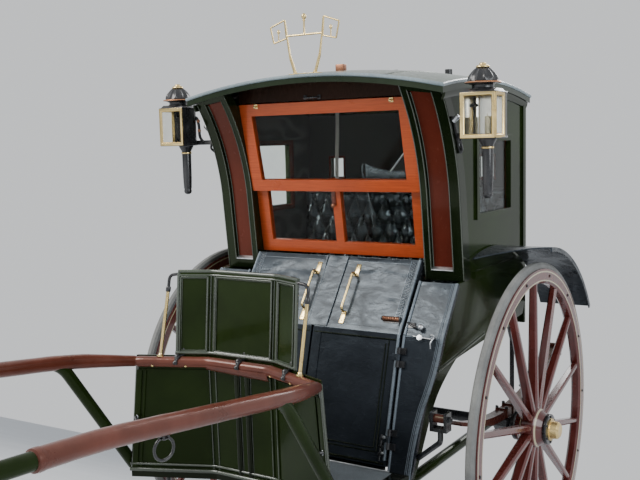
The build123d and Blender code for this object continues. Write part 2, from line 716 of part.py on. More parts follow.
# wheels: turned hub, tapered spokes, chamfered felloes, rounded tyre
rim_r = WHEEL_R - TYRE_T
felloe_r = rim_r - FELLOE_T
half = FELLOE_W / 2
felloe = hoop(
    [(-half, rim_r), (half, rim_r), (half, felloe_r + 10), (half - 10, felloe_r),
     (10 - half, felloe_r), (-half, felloe_r + 10)],
    TRACK_HALF,
)
end = HUB_L / 2
hub = turned(
    [(HUB_END_R, -end), (HUB_END_R, HUB_BAND - end), (HUB_END_R - 5, HUB_BAND - end),
     (HUB_R, -24), (HUB_R, 24), (HUB_END_R - 5, end - HUB_BAND),
     (HUB_END_R, end - HUB_BAND), (HUB_END_R, end)],
    TRACK_HALF, 0, WHEEL_R, "X",
)


def spoke_section(wide, thick, level):
    """An eight-sided section with its long side along the axle."""
    a = wide / 2
    b = thick / 2
    c = thick / 4
    points = [(a - c, b), (a, b - c), (a, c - b), (a - c, -b)]
    points = points + [(-x, y) for x, y in reversed(points)]
    return Plane.XY.offset(level) * Polygon(*points, align=None)


spoke = loft([
    spoke_section(*SPOKE_FOOT, HUB_R - 20),
    spoke_section(*SPOKE_TOP, felloe_r + 12),
])
wood = felloe + hub
for i in range(SPOKES):
    wood = wood + Pos(TRACK_HALF, 0, WHEEL_R) * Rot(360.0 * i / SPOKES, 0, 0) * spoke
wood = wood - disc(TRACK_HALF - HUB_L, TRACK_HALF + HUB_L, 0, WHEEL_R, HUB_BORE)
pair("wheel", wood)
half = TYRE_W / 2
tyre = hoop(
    [(-half, rim_r), (half, rim_r), (half, WHEEL_R - 10), (half - 8, WHEEL_R),
     (8 - half, WHEEL_R), (-half, WHEEL_R - 10)],
    TRACK_HALF,
)
pair("tyre", tyre)
cap = turned(
    [(CAP_R + 8, 0), (CAP_R + 8, 6), (CAP_R, 8), (CAP_R - 3, CAP_L - 8), (CAP_R - 12, CAP_L)],
    TRACK_HALF + end, 0, WHEEL_R, "X",
)
pair("hub_cap", cap)

# mudguards over the wheels, their inner edge on the body side
guard_r = WHEEL_R + 62
guard_in = BELT_HALF + BEAD + 0.3
guard_out = TRACK_HALF + 60
guard = hoop(
    [(guard_in, guard_r), (guard_in, guard_r + 5), (guard_out, guard_r + 5),
     (guard_out, guard_r - 14), (guard_out - 5, guard_r - 14), (guard_out - 5, guard_r)],
    0,
)
wedge = [(0.0, WHEEL_R), (-420.0, WHEEL_R + 960), (400.0, WHEEL_R + 960), (640.0, WHEEL_R + 420)]
guard_plan = [
    (0, -205.0), (guard_in + 6, -205.0), (guard_in + 120, -95.0), (guard_out, 60.0),
    (guard_out, 700.0), (0, 700.0),
]
guard = guard & side_poly(wedge, 500, 900) & plan_poly(guard_plan, WHEEL_R, WHEEL_R + 900)
both("mudguards", guard)

# lamps on brackets from the pillars
LAMP = dict(
    x=742.0, half=68.0, y0=-478.0, y1=-308.0, z0=1923.0, z1=2094.0, wall=6.0, rim=12.0,
    chimney_y=-424.0, candle_y=-338.0,
)
m = LAMP
lamp_y = (m["y0"] + m["y1"]) / 2
x0 = m["x"] - m["half"]
x1 = m["x"] + m["half"]
case = block(x0, x1, m["y0"], m["y1"], m["z0"], m["z1"])
inside = block(x0 + m["wall"], x1 - m["wall"], m["y0"] + 8, m["y1"] - m["wall"],
               m["z0"] + m["wall"], m["z1"] - m["wall"])
front = block(x0 + m["rim"], x1 - m["rim"], m["y0"] - 5, m["y0"] + 20,
              m["z0"] + m["rim"], m["z1"] - m["rim"])
side = block(x1 - 20, x1 + 5, m["y0"] + m["rim"], m["y0"] + 84, m["z0"] + m["rim"], m["z1"] - m["rim"])
chimney = turned(
    [(52, 0), (52, 12), (34, 18), (34, 48), (56, 58), (50, 74), (26, 88), (12, 94), (8, 108)],
    m["x"], m["chimney_y"], m["z1"], "Z",
)
candle = turned(
    [(6, -216), (16, -206), (19, -190), (19, -40), (24, -30), (24, 0)],
    m["x"], m["candle_y"], m["z0"], "Z",
)
lamp = case - inside - front - side + chimney + candle
glass = block(x0 + m["wall"], x1 - m["wall"], m["y0"] + 8.3, m["y0"] + 12.3,
              m["z0"] + m["wall"], m["z1"] - m["wall"])
side_light = block(x1 - m["wall"] - 4.3, x1 - m["wall"] - 0.3, m["y0"] + 14, m["y0"] + 90,
                   m["z0"] + m["wall"], m["z1"] - m["wall"])
both("lamp_glasses", glass, side_light)
arm_z = m["z0"] + 40
arm = bent(
    [(BELT_HALF - 18, -330, arm_z), (BELT_HALF + 40, -330, arm_z), (x0 - 0.3, lamp_y, arm_z)],
    8.0, 12.0, 8,
)
both("lamps", lamp, arm - front_solid(-0.3, 0, BELT_HALF + 0.3))

# rein guide on the roof
gy = GUIDE["y"]
crown = math.sqrt(ROOF_R**2 - (gy - ROOF_MID) ** 2) + ROOF_TOP - ROOF_R
guide = block(-75, 75, gy - 14, gy + 14, crown - 20, crown + 8) - ball(ROOF_R + 0.3)
guide = guide + rod((0, gy, GUIDE["bar"]), (0, gy, GUIDE["top"] - 12), 5.5)
guide = guide + Pos(0, gy, GUIDE["top"] - 10) * Sphere(10)
guide = guide + rod((-83, gy, GUIDE["bar"]), (83, gy, GUIDE["bar"]), 5.5)
for s in (-1, 1):
    stem = bent([(s * x, gy, z) for x, z in GUIDE["stem"]], 6.0, 12.0, 8)
    corners = [(s * x, gy, z) for x, z in GUIDE["loop"]]
    loop = FilletPolyline(*corners, radius=8.0, close=True)
    ring = sweep(Plane(origin=loop @ 0, z_dir=loop % 0) * RegularPolygon(4.5, 8), path=loop)
    guide = guide + stem + ring
keep("rein_guide", guide - ball(ROOF_R + 0.3))

# driver's seat, footboard and the irons that carry them
d = DICKEY
seat = side_poly(
    [(d["y0"], d["z"] + 70), (d["y0"], d["z"] + 45), (d["y0"] + 50, d["z"]), (d["y1"] - 40, d["z"]),
     (d["y1"], d["z"] + 30), (d["y1"], d["z"] + 70)],
    -d["half"], d["half"],
)
keep("driver_seat", seat)
pad = block(-d["half"] + 6, d["half"] - 6, d["y0"] + 6, d["y1"] - 6, d["z"] + 70, d["z"] + 140)
keep("driver_cushion", chamfer(pad.edges(), 20))
top_z = d["z"] + 250
rail = bent(
    [(-d["half"] - 9.3, d["y0"] + 60, d["z"] + 10), (-d["half"] - 9.3, d["y0"] + 60, top_z),
     (-d["half"] - 9.3, d["y1"] + 10, top_z), (d["half"] + 9.3, d["y1"] + 10, top_z),
     (d["half"] + 9.3, d["y0"] + 60, top_z), (d["half"] + 9.3, d["y0"] + 60, d["z"] + 10)],
    9.0, 30.0,
)
keep("driver_rail", rail)
foot_y = BODY_BACK + WALL
board = side_poly(
    [(foot_y + BEAD + 0.3, 1640), (foot_y + BEAD + 0.3, 1662), (foot_y + 300, 1612),
     (foot_y + 300, 1590)],
    -240, 240,
)
keep("footboard", board)
leg = bent(
    [(200, foot_y + BEAD + 12.3, 1150), (200, foot_y + BEAD + 12.3, 1560),
     (200, d["y0"] + 140, 1750), (200, d["y0"] + 140, d["z"] - 0.3)],
    12.0, 60.0, 8,
)
seat_iron = leg - board
step = bent(
    [(330, foot_y + 0.3, 1240), (330, foot_y + 110, 1240), (450, foot_y + 110, 1240),
     (450, foot_y + 0.3, 1240)], 9.0, 20.0, 8,
)
step2 = bent(
    [(300, foot_y + 0.3, 1480), (300, foot_y + 100, 1480), (420, foot_y + 100, 1480),
     (420, foot_y + 0.3, 1480)], 9.0, 20.0, 8,
)
together("driver_irons", seat_iron, mirror(seat_iron, Plane.YZ), step, step2)
socket = Pos(WHIP_X, 0, 0) * rod((0, ROOF_REAR + 18.3, 2010), (0, ROOF_REAR + 18.3, 2260), 18.0)
socket = socket - Pos(WHIP_X, 0, 0) * rod((0, ROOF_REAR + 18.3, 2100), (0, ROOF_REAR + 18.3, 2270), 12.0)
keep("whip_socket", socket)

# step irons under the floor's sides
tread = block(FLOOR_HALF + 6, FLOOR_HALF + 150, -930, -810, 430, 440)
hang = bent(
    [(SHAFT_X, -870, SHAFT_LOW[1] - SHAFT_R - 0.3), (SHAFT_X, -870, 435), (FLOOR_HALF + 20, -870, 435)],
    10.0, 25.0, 8,
)
both("step_irons", hang + tread)

for name, shape in made.items():
    shape.label = name
    export_step(shape, "parts/" + name + ".step")
print("tilt", round(TILT, 4), "shift", round(SHIFT, 4), "nodes", len(made))
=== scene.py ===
from math import asin, atan2, cos, hypot, pi, radians, sin, sqrt

import bmesh
import bpy
from mathutils import Matrix, Vector, noise


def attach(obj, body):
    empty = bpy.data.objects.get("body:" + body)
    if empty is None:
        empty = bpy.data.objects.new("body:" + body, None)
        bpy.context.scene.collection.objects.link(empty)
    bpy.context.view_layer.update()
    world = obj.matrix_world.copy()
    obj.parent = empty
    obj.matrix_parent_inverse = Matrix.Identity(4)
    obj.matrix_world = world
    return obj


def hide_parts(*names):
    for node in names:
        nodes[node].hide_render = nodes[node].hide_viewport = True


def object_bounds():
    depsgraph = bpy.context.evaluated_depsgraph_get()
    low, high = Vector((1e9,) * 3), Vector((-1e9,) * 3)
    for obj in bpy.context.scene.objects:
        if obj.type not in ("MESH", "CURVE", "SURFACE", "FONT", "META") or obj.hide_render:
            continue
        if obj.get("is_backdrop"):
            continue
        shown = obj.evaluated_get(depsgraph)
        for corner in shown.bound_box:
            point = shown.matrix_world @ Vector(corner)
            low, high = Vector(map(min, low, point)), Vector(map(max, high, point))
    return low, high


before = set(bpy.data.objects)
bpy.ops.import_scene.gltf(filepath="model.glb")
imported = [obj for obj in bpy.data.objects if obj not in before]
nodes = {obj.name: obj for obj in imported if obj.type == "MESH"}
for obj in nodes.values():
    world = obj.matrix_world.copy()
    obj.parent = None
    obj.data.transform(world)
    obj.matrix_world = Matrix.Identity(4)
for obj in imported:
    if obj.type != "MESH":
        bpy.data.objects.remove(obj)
cad_low, cad_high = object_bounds()


def V(x, y, z):
    return Vector((x, y, z))


UP = V(0, 0, 1)

# The pieces are drawn level, in metres, with the axle at Y 0, and are then parked
# as the CAD model is: tilted about the axle until the shaft tips touch the floor.
WHEEL_R = 0.7
TIP_R = 0.019
SHAFT_TIP = (-2.95, 1.29)
RISE = SHAFT_TIP[1] - WHEEL_R
REACH = -SHAFT_TIP[0]
TILT = asin((WHEEL_R - TIP_R) / hypot(RISE, REACH)) + atan2(RISE, REACH)
TIP_Y = -sqrt(RISE**2 + REACH**2 - (WHEEL_R - TIP_R) ** 2) - TIP_R
SHIFT = -(WHEEL_R + TIP_Y) / 2
AXLE = Matrix.Translation((0, 0, WHEEL_R))
PARK = Matrix.Translation((0, SHIFT, 0)) @ AXLE @ Matrix.Rotation(TILT, 4, "X") @ AXLE.inverted()

# Sizes of the body, as the CAD model has them.
BELT_HALF = 0.598
PILLAR_IN = 0.423
ROOF_R = 2.82
ROOF_MID = -0.071
ROOF_TOP = 2.232
ROOF_FRONT = -0.508
ROOF_REAR = 0.452
ROOF_HALF = 0.618
FLAP_TOP = V(0, -0.2765, 1.429)
KNEE = V(0, -0.479, 1.156)
DOOR_FOOT = V(0, -0.626, 0.661)
DASH_Y = -0.977
DASH_MID = 0.147
DASH_SWEEP = 0.43
RAIL_FACE = -0.97674
RAIL_Z = 1.098
SHAFT_X = 0.49


# --- mesh building
class Form:
    """Vertices and faces of one piece, gathered from several shapes."""

    def __init__(self):
        self.verts = []
        self.faces = []

    def add(self, verts, faces):
        start = len(self.verts)
        self.verts.extend(Vector(v) for v in verts)
        self.faces.extend([start + i for i in face] for face in faces)
        return self

    def mirrored(self):
        other = Form()
        other.verts = [V(-v.x, v.y, v.z) for v in self.verts]
        other.faces = [list(reversed(face)) for face in self.faces]
        return other

    def with_mirror(self):
        twin = self.mirrored()
        return self.add(twin.verts, twin.faces)


def flip(points, s):
    """The points as they are for s = 1, mirrored in X for s = -1."""
    return [V(p.x * s, p.y, p.z) for p in points]


def ramp(a, b, steps, first=0, last=1):
    """Even steps from a to b, with the ends or without."""
    return [a + (b - a) * i / steps for i in range(first, steps + last)]


def dress(name, form, material, bevel=0.0, sharp=40.0, subdivide=0, body="carriage", slot=None):
    """Turns a form into a parked object with its finish, riding on a body."""
    mesh = bpy.data.meshes.new(name)
    mesh.from_pydata([tuple(v) for v in form.verts], [], form.faces)
    mesh.transform(PARK)
    edit = bmesh.new()
    edit.from_mesh(mesh)
    bmesh.ops.recalc_face_normals(edit, faces=edit.faces)
    if bevel:
        corners = [e for e in edit.edges if len(e.link_faces) == 2
                   and e.calc_face_angle(0) > radians(sharp)]
        bmesh.ops.bevel(edit, geom=corners, offset=bevel, segments=2, profile=0.6,
                        affect="EDGES", clamp_overlap=True)
    for face in edit.faces:
        face.smooth = True
    for edge in edit.edges:
        if len(edge.link_faces) == 2:
            edge.smooth = edge.calc_face_angle(0) < radians(sharp)
    edit.to_mesh(mesh)
    edit.free()
    piece = bpy.data.objects.new(name, mesh)
    bpy.context.scene.collection.objects.link(piece)
    mesh.materials.append(material)
    if subdivide:
        smoother = piece.modifiers.new("smooth", "SUBSURF")
        smoother.levels = subdivide
        smoother.render_levels = subdivide
    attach(piece, body)
    slot = slot or next(s for s, finishes in SLOTS.items() if material in finishes)
    return piece


BOX_FACES = ((0, 2, 3, 1), (4, 5, 7, 6), (0, 1, 5, 4), (2, 6, 7, 3), (0, 4, 6, 2), (1, 3, 7, 5))
MM = 0.001


def box(form, x0, x1, y0, y1, z0, z1):
    corners = [V(x, y, z) for z in (z0, z1) for y in (y0, y1) for x in (x0, x1)]
    return form.add(corners, BOX_FACES)


def prism(form, outline, direction):
    """A flat outline of points pushed along a direction."""
    low = [Vector(p) for p in outline]
    high = [p + Vector(direction) for p in low]
    n = len(low)
    faces = [list(range(n))[::-1], list(range(n, 2 * n))]
    faces += [(i, (i + 1) % n, n + (i + 1) % n, n + i) for i in range(n)]
    return form.add(low + high, faces)


def rounded_path(points, radius, steps=6, closed=False):
    """A line of points with its corners turned into curves."""
    points = [Vector(p) for p in points]
    count = len(points)
    out = []
    for i, p in enumerate(points):
        if not closed and i in (0, count - 1):
            out.append(p)
            continue
        back = points[i - 1] - p
        ahead = points[(i + 1) % count] - p
        reach = min(radius, back.length * 0.45, ahead.length * 0.45)
        a = p + back.normalized() * reach
        b = p + ahead.normalized() * reach
        for k in range(steps + 1):
            t = k / steps
            out.append(a * (1 - t) ** 2 + p * 2 * t * (1 - t) + b * t**2)
    return out


def band_faces(a, b, n):
    """Quads between two rings of n vertices that start at a and b."""
    return [(a + k, a + (k + 1) % n, b + (k + 1) % n, b + k) for k in range(n)]


def around(steps, part=0.0):
    """Angles round a full circle."""
    return [2 * pi * (k + part) / steps for k in range(steps)]


def tube(form, points, radius, sides=12, closed=False, squash=1.0, radii=None):
    """A round bar along a line of points."""
    points = [Vector(p) for p in points]
    count = len(points)
    tangents = []
    for i in range(count):
        if closed:
            t = points[(i + 1) % count] - points[i - 1]
        else:
            t = points[min(i + 1, count - 1)] - points[max(i - 1, 0)]
        tangents.append(t.normalized())
    side = tangents[0].orthogonal().normalized()
    if abs(tangents[0].z) < 0.9:
        side = tangents[0].cross(UP).normalized()
    rings = []
    for i, t in enumerate(tangents):
        side = (side - t * side.dot(t)).normalized()
        up = side.cross(t)
        r = radii[i] if radii else radius
        rings += [points[i] + side * cos(a) * r + up * sin(a) * r * squash for a in around(sides)]
    faces = []
    for i in range(count if closed else count - 1):
        faces += band_faces(i * sides, (i + 1) % count * sides, sides)
    if not closed:
        faces += [list(range(sides))[::-1], list(range((count - 1) * sides, count * sides))]
    return form.add(rings, faces)


def lathe(form, profile, place, sides=32, wave=None):
    """An outline of (radius, height) turned about an axis, placed by its origin and direction."""
    origin, axis = place
    carry = Matrix.Translation(origin) @ UP.rotation_difference(Vector(axis)).to_matrix().to_4x4()
    verts = []
    for r, h in profile:
        for k, a in enumerate(around(sides)):
            rr = r + (wave(k, h) if wave else 0)
            verts.append(carry @ V(rr * cos(a), rr * sin(a), h))
    faces = []
    last = (len(profile) - 1) * sides
    for a in range(0, last, sides):
        faces += band_faces(a, a + sides, sides)
    faces += [list(range(sides))[::-1], list(range(last, last + sides))]
    return form.add(verts, faces)


def turned(form, profile, place, sides=32, wave=None):
    """As lathe, with the outline in millimetres."""
    return lathe(form, [(r * MM, h * MM) for r, h in profile], place, sides, wave)


def sheet(form, surface, out, back, columns, rows):
    """A closed skin: surface(u, v, out) over surface(u, v, back), u and v from 0 to 1."""
    grid = [(i / columns, j / rows) for j in range(rows + 1) for i in range(columns + 1)]
    front = [surface(u, v, out) for u, v in grid]
    rear = [surface(u, v, back) for u, v in grid]
    wide = columns + 1
    n = len(front)
    faces = []
    for j in range(rows):
        for i in range(columns):
            a = j * wide + i
            quad = (a, a + 1, a + 1 + wide, a + wide)
            faces.append(quad)
            faces.append([n + q for q in reversed(quad)])
    rim = list(range(wide))
    rim += [j * wide + columns for j in range(1, rows + 1)]
    rim += [rows * wide + i for i in range(columns - 1, -1, -1)]
    rim += [j * wide for j in range(rows - 1, 0, -1)]
    for k, a in enumerate(rim):
        b = rim[(k + 1) % len(rim)]
        faces.append((b, a, n + a, n + b))
    return form.add(front + rear, faces)


def drift(x, y=0.0, z=0.0):
    """Smooth noise between about -1 and 1."""
    return noise.noise(V(x, y, z))


# --- materials
class Nodes:
    """Short calls that add nodes to the tree of a material or of the world."""

    def __init__(self, owner):
        owner.use_nodes = True
        self.tree = owner.node_tree
        self.tree.nodes.clear()

    def put(self, socket, value):
        if hasattr(value, "is_output"):
            self.tree.links.new(value, socket)
        else:
            socket.default_value = value

    def node(self, kind, inputs=(), **props):
        made = self.tree.nodes.new("ShaderNode" + kind)
        for key, value in props.items():
            setattr(made, key, value)
        for key, value in dict(inputs).items():
            self.put(made.inputs[key], value)
        return made

    def math(self, operation, a, b=0.0, c=0.0):
        return self.node("Math", {0: a, 1: b, 2: c}, operation=operation).outputs[0]


class Paint(Nodes):
    """A node material round one Principled shader."""

    def __init__(self, name, **sockets):
        self.material = bpy.data.materials.new(name)
        super().__init__(self.material)
        output = self.node("OutputMaterial")
        sockets = {key.replace("_", " "): value for key, value in sockets.items()}
        self.shader = self.node("BsdfPrincipled", sockets)
        self.tree.links.new(self.shader.outputs[0], output.inputs["Surface"])
        self.coord = self.node("TexCoord").outputs["Object"]

    def scaled(self, scale):
        return self.node("Mapping", {"Vector": self.coord, "Scale": scale}).outputs[0]

    def noise(self, scale, detail=3.0, rough=0.55, vector=None, distortion=0.0):
        return self.node("TexNoise", {"Vector": vector or self.coord, "Scale": scale, "Detail": detail,
                                      "Roughness": rough, "Distortion": distortion}).outputs["Fac"]

    def cells(self, scale):
        return self.node("TexVoronoi", {"Vector": self.coord, "Scale": scale},
                         feature="F1").outputs["Distance"]

    def wave(self, scale, distortion, direction):
        return self.node("TexWave", {"Vector": self.coord, "Scale": scale, "Distortion": distortion,
                                     "Detail": 1.0}, bands_direction=direction).outputs["Fac"]

    def span(self, value, low, high, to_low=0.0, to_high=1.0):
        return self.node("MapRange", {"Value": value, "From Min": low, "From Max": high,
                                      "To Min": to_low, "To Max": to_high}).outputs[0]

    def mix(self, factor, a, b):
        return self.node("Mix", {0: factor, 6: opaque(a), 7: opaque(b)}, data_type="RGBA").outputs[2]

    def split(self, vector=None):
        return self.node("SeparateXYZ", {0: vector or self.coord}).outputs

    def up(self):
        """1 where the surface faces the sky."""
        return self.span(self.split(self.node("NewGeometry").outputs["Normal"])[2], 0.35, 0.95)

    def bump(self, height, distance, strength=1.0, normal=None):
        made = self.node("Bump", {"Height": height, "Distance": distance, "Strength": strength})
        if normal is not None:
            self.put(made.inputs["Normal"], normal)
        return made.outputs[0]

    def soft_edges(self, radius):
        return self.node("Bevel", {"Radius": radius}, samples=4).outputs[0]

    def colour(self, value):
        self.put(self.shader.inputs["Base Color"], opaque(value))

    def rough(self, value):
        self.put(self.shader.inputs["Roughness"], value)

    def relief(self, value):
        self.put(self.shader.inputs["Normal"], value)


def opaque(value):
    """A colour of three numbers with its alpha; a socket stays as it is."""
    return (*value, 1.0) if isinstance(value, tuple) else value


DUST = (0.3, 0.28, 0.24)


def coach_paint(name, base, dark, rough=0.16, gloss=0.22, tint=(0.85, 1.0, 0.62), crown=None):
    """Varnished coach enamel: faint brush marks, a little dust, and, where a crown colour is given, a painted
    sky reflection that pales it where it faces up.
    """
    m = Paint(name, Coat_Weight=gloss * 0.5, Coat_Roughness=0.04, IOR=1.5, Specular_IOR_Level=gloss,
              Specular_Tint=(*tint, 1.0))
    cloud = m.noise(3.2, 4.0)
    streak = m.noise(9.0, 5.0, 0.6, m.scaled((6.0, 6.0, 0.7)))
    tone = m.mix(m.span(cloud, 0.35, 0.7), dark, base)
    dust = m.math("MULTIPLY", m.up(), m.span(m.noise(14.0, 6.0, 0.7), 0.45, 0.8, 0.0, 0.1))
    # Painted sky reflection: the crown colour is mixed in where the surface faces up.
    if crown:
        tone = m.mix(m.up(), tone, crown)
    m.colour(m.mix(dust, tone, DUST))
    m.rough(m.span(streak, 0.3, 0.75, rough * 0.75, rough * 1.6))
    normal = m.soft_edges(0.0012)
    normal = m.bump(m.noise(260.0, 2.0), 0.00012, 0.35, normal)
    m.relief(m.bump(streak, 0.0012, 0.12, normal))
    return m.material


def black_leather(name, base=(0.012, 0.014, 0.017), rough=0.24, ripple=0.9, gloss=0.36):
    """Patent leather: glossy, slightly cockled, with fine pores and rubbed edges."""
    m = Paint(name, Coat_Weight=gloss * 0.45, Coat_Roughness=0.1, IOR=1.5, Specular_IOR_Level=gloss,
              Specular_Tint=(0.7, 0.86, 1.0, 1.0))
    cloud = m.noise(5.0, 5.0, 0.6)
    crease = m.noise(16.0, 3.0, 0.5, m.scaled((1.0, 1.0, 2.2)), 0.8)
    pores = m.cells(620.0)
    tone = m.mix(m.span(cloud, 0.3, 0.75), base, tuple(c * 2.6 for c in base))
    scuff = m.span(m.noise(38.0, 8.0, 0.72), 0.62, 0.8, 0.0, 0.35)
    m.colour(m.mix(scuff, tone, (0.06, 0.058, 0.055)))
    haze = m.noise(9.0, 4.0, 0.62, m.scaled((0.7, 1.0, 1.6)), 1.4)
    above_knee = m.span(m.split()[2], 0.88, 0.95, 0.18, 1.0)
    haze = m.math("MULTIPLY", above_knee, m.span(haze, 0.36, 0.66, rough * -0.55, rough * 1.3))
    m.rough(m.math("ADD", m.math("ADD", haze, rough), m.math("MULTIPLY", scuff, 0.3)))
    normal = m.soft_edges(0.0015)
    normal = m.bump(pores, 0.00015, 0.5, normal)
    normal = m.bump(crease, 0.004, 0.22 * ripple, normal)
    m.relief(m.bump(cloud, 0.02, 0.16 * ripple, normal))
    return m.material


def brown_leather(name):
    """Stitched harness leather, paler along its top: a painted sky highlight, patchy like rubbed wear."""
    m = Paint(name, Coat_Weight=0.42, Coat_Roughness=0.15, IOR=1.5, Specular_IOR_Level=0.5,
              Specular_Tint=(1.0, 0.58, 0.46, 1.0))
    cloud = m.noise(7.0, 5.0, 0.6)
    grain = m.cells(420.0)
    tone = m.mix(m.span(cloud, 0.3, 0.75), (0.08, 0.018, 0.01), (0.14, 0.034, 0.02))
    # Painted sky highlight with patches of rubbed wear: paler where the leather faces up.
    rubbed_and_sky_sheen = m.math("MULTIPLY", m.up(), m.span(m.noise(22.0, 6.0, 0.7), 0.35, 0.8, 0.05, 0.5))
    tone = m.mix(rubbed_and_sky_sheen, tone, (0.27, 0.095, 0.062))
    stain = m.span(m.noise(11.0, 8.0, 0.75), 0.62, 0.85, 0.0, 0.5)
    m.colour(m.mix(stain, tone, (0.06, 0.022, 0.016)))
    m.rough(m.span(cloud, 0.3, 0.8, 0.26, 0.42))
    normal = m.bump(grain, 0.00018, 0.4)
    m.relief(m.bump(m.noise(30.0, 4.0), 0.002, 0.25, normal))
    return m.material


def sash_wood(name):
    """Orange-red glazed hardwood: long grain under worn varnish."""
    m = Paint(name, Coat_Weight=0.2, Coat_Roughness=0.12, IOR=1.5, Specular_Tint=(1.0, 0.72, 0.5, 1.0))
    grain = m.noise(5.0, 8.0, 0.62, m.scaled((2.0, 38.0, 38.0)), 0.6)
    blotch = m.noise(6.0, 5.0, 0.65)
    tone = m.mix(m.span(grain, 0.3, 0.75), (0.36, 0.046, 0.011), (0.55, 0.092, 0.021))
    tone = m.mix(m.span(blotch, 0.55, 0.85, 0.0, 0.45), tone, (0.17, 0.024, 0.01))
    speck = m.span(m.noise(120.0, 4.0, 0.7), 0.68, 0.8, 0.0, 0.5)
    m.colour(m.mix(speck, tone, (0.08, 0.02, 0.01)))
    m.rough(m.span(blotch, 0.3, 0.8, 0.26, 0.46))
    normal = m.soft_edges(0.0018)
    m.relief(m.bump(grain, 0.0006, 0.5, normal))
    return m.material


def iron(name):
    """Black japanned iron with pits and dulled handling."""
    m = Paint(name, Coat_Weight=0.35, Coat_Roughness=0.15, IOR=1.5)
    cloud = m.noise(18.0, 6.0, 0.65)
    pits = m.noise(240.0, 3.0, 0.6)
    rust = m.span(m.noise(46.0, 8.0, 0.75), 0.66, 0.82, 0.0, 0.5)
    tone = m.mix(m.span(cloud, 0.3, 0.8), (0.01, 0.01, 0.011), (0.024, 0.024, 0.0264))
    m.colour(m.mix(rust, tone, (0.07, 0.03, 0.015)))
    m.rough(m.span(cloud, 0.3, 0.8, 0.182, 0.442))
    normal = m.soft_edges(0.0012)
    m.relief(m.bump(pits, 0.0004, 0.35, normal))
    return m.material


def metal(name, bright, dull, rough=0.22, tarnish=0.55):
    """Polished metal with tarnish in clouds and fine rubbing marks."""
    m = Paint(name, Metallic=1.0)
    cloud = m.noise(24.0, 6.0, 0.65)
    rub = m.noise(30.0, 6.0, 0.6, m.scaled((3.0, 3.0, 26.0)))
    m.colour(m.mix(m.span(cloud, 0.42, 0.75, 0.0, tarnish), bright, dull))
    m.rough(m.math("ADD", m.span(cloud, 0.3, 0.8, rough * 0.6, rough * 1.5),
                   m.span(rub, 0.3, 0.8, 0.0, 0.08)))
    normal = m.soft_edges(0.001)
    m.relief(m.bump(rub, 0.0003, 0.25, normal))
    return m.material


def rubber(name):
    m = Paint(name, IOR=1.45)
    cloud = m.noise(9.0, 6.0, 0.65)
    grit = m.noise(160.0, 5.0, 0.7)
    tone = m.mix(m.span(cloud, 0.3, 0.75), (0.15, 0.15, 0.145), (0.27, 0.27, 0.255))
    m.colour(m.mix(m.span(grit, 0.55, 0.75, 0.0, 0.45), tone, (0.09, 0.085, 0.078)))
    m.rough(m.span(grit, 0.3, 0.8, 0.55, 0.85))
    m.relief(m.bump(grit, 0.0012, 0.5, m.soft_edges(0.003)))
    return m.material


def floor_mat(name):
    """Ribbed grey cord matting."""
    m = Paint(name, IOR=1.4, Sheen_Weight=0.15)
    rib = m.wave(95.0, 0.6, "X")
    cloud = m.noise(8.0, 6.0, 0.7)
    tone = m.mix(m.span(cloud, 0.3, 0.75), (0.1, 0.118, 0.126), (0.205, 0.232, 0.245))
    m.colour(m.mix(m.span(rib, 0.2, 0.9, 0.0, 0.35), tone, (0.055, 0.063, 0.068)))
    m.rough(m.span(m.noise(120.0, 4.0, 0.7), 0.3, 0.8, 0.6, 0.85))
    normal = m.bump(rib, 0.0015, 0.5)
    m.relief(m.bump(m.noise(400.0, 3.0), 0.0008, 0.5, normal))
    return m.material


def trim_cloth(name, base, lift):
    """Woven wool cloth of the headlining and the inner sides."""
    m = Paint(name, Sheen_Weight=0.4, Sheen_Roughness=0.4)
    weave = m.math("MULTIPLY", m.wave(380.0, 0.4, "X"), m.wave(380.0, 0.4, "Z"))
    cloud = m.noise(7.0, 5.0, 0.6)
    tone = m.mix(m.span(cloud, 0.3, 0.75), base, lift)
    m.colour(m.mix(m.span(weave, 0.0, 0.8, 0.35, 0.0), tone, tuple(c * 0.5 for c in base)))
    m.rough(m.span(cloud, 0.3, 0.8, 0.72, 0.92))
    m.relief(m.bump(weave, 0.0006, 0.6))
    return m.material


def window_glass(name, tint):
    """Old drawn glass: clear, faintly wavy, a little dusty."""
    m = Paint(name, Transmission_Weight=1.0, IOR=1.16, Specular_IOR_Level=0.3)
    smear = m.span(m.noise(6.0, 6.0, 0.7), 0.45, 0.8)
    m.colour(m.mix(smear, tint, tuple(c * 0.92 for c in tint)))
    m.rough(m.span(smear, 0.0, 1.0, 0.0, 0.06))
    m.relief(m.bump(m.noise(2.6, 2.0), 0.002, 0.12))
    return m.material


def wheel_paint(name):
    """Dark red coach enamel, lined in pale yellow round the felloes and hub."""
    m = Paint(name, Coat_Weight=0.5, Coat_Roughness=0.08, IOR=1.5)
    _, y, z = m.split()
    dy = m.math("SUBTRACT", y, SHIFT)
    dz = m.math("SUBTRACT", z, WHEEL_R)
    radius = m.math("SQRT", m.math("ADD", m.math("MULTIPLY", dy, dy), m.math("MULTIPLY", dz, dz)))
    lines = None
    for ring, half in ((0.662, 0.0022), (0.624, 0.0022), (0.078, 0.0018)):
        off = m.math("ABSOLUTE", m.math("SUBTRACT", radius, ring))
        here = m.span(off, half, half + 0.0012, 1.0, 0.0)
        lines = here if lines is None else m.math("MAXIMUM", lines, here)
    cloud = m.noise(7.0, 5.0, 0.6)
    tone = m.mix(m.span(cloud, 0.3, 0.75), (0.085, 0.014, 0.011), (0.135, 0.024, 0.018))
    dirt = m.span(m.noise(20.0, 8.0, 0.75), 0.58, 0.8, 0.0, 0.4)
    tone = m.mix(dirt, tone, (0.12, 0.085, 0.06))
    m.colour(m.mix(lines, tone, (0.55, 0.47, 0.3)))
    m.rough(m.span(cloud, 0.3, 0.8, 0.18, 0.38))
    m.relief(m.bump(m.noise(150.0, 3.0), 0.0003, 0.3, m.soft_edges(0.002)))
    return m.material


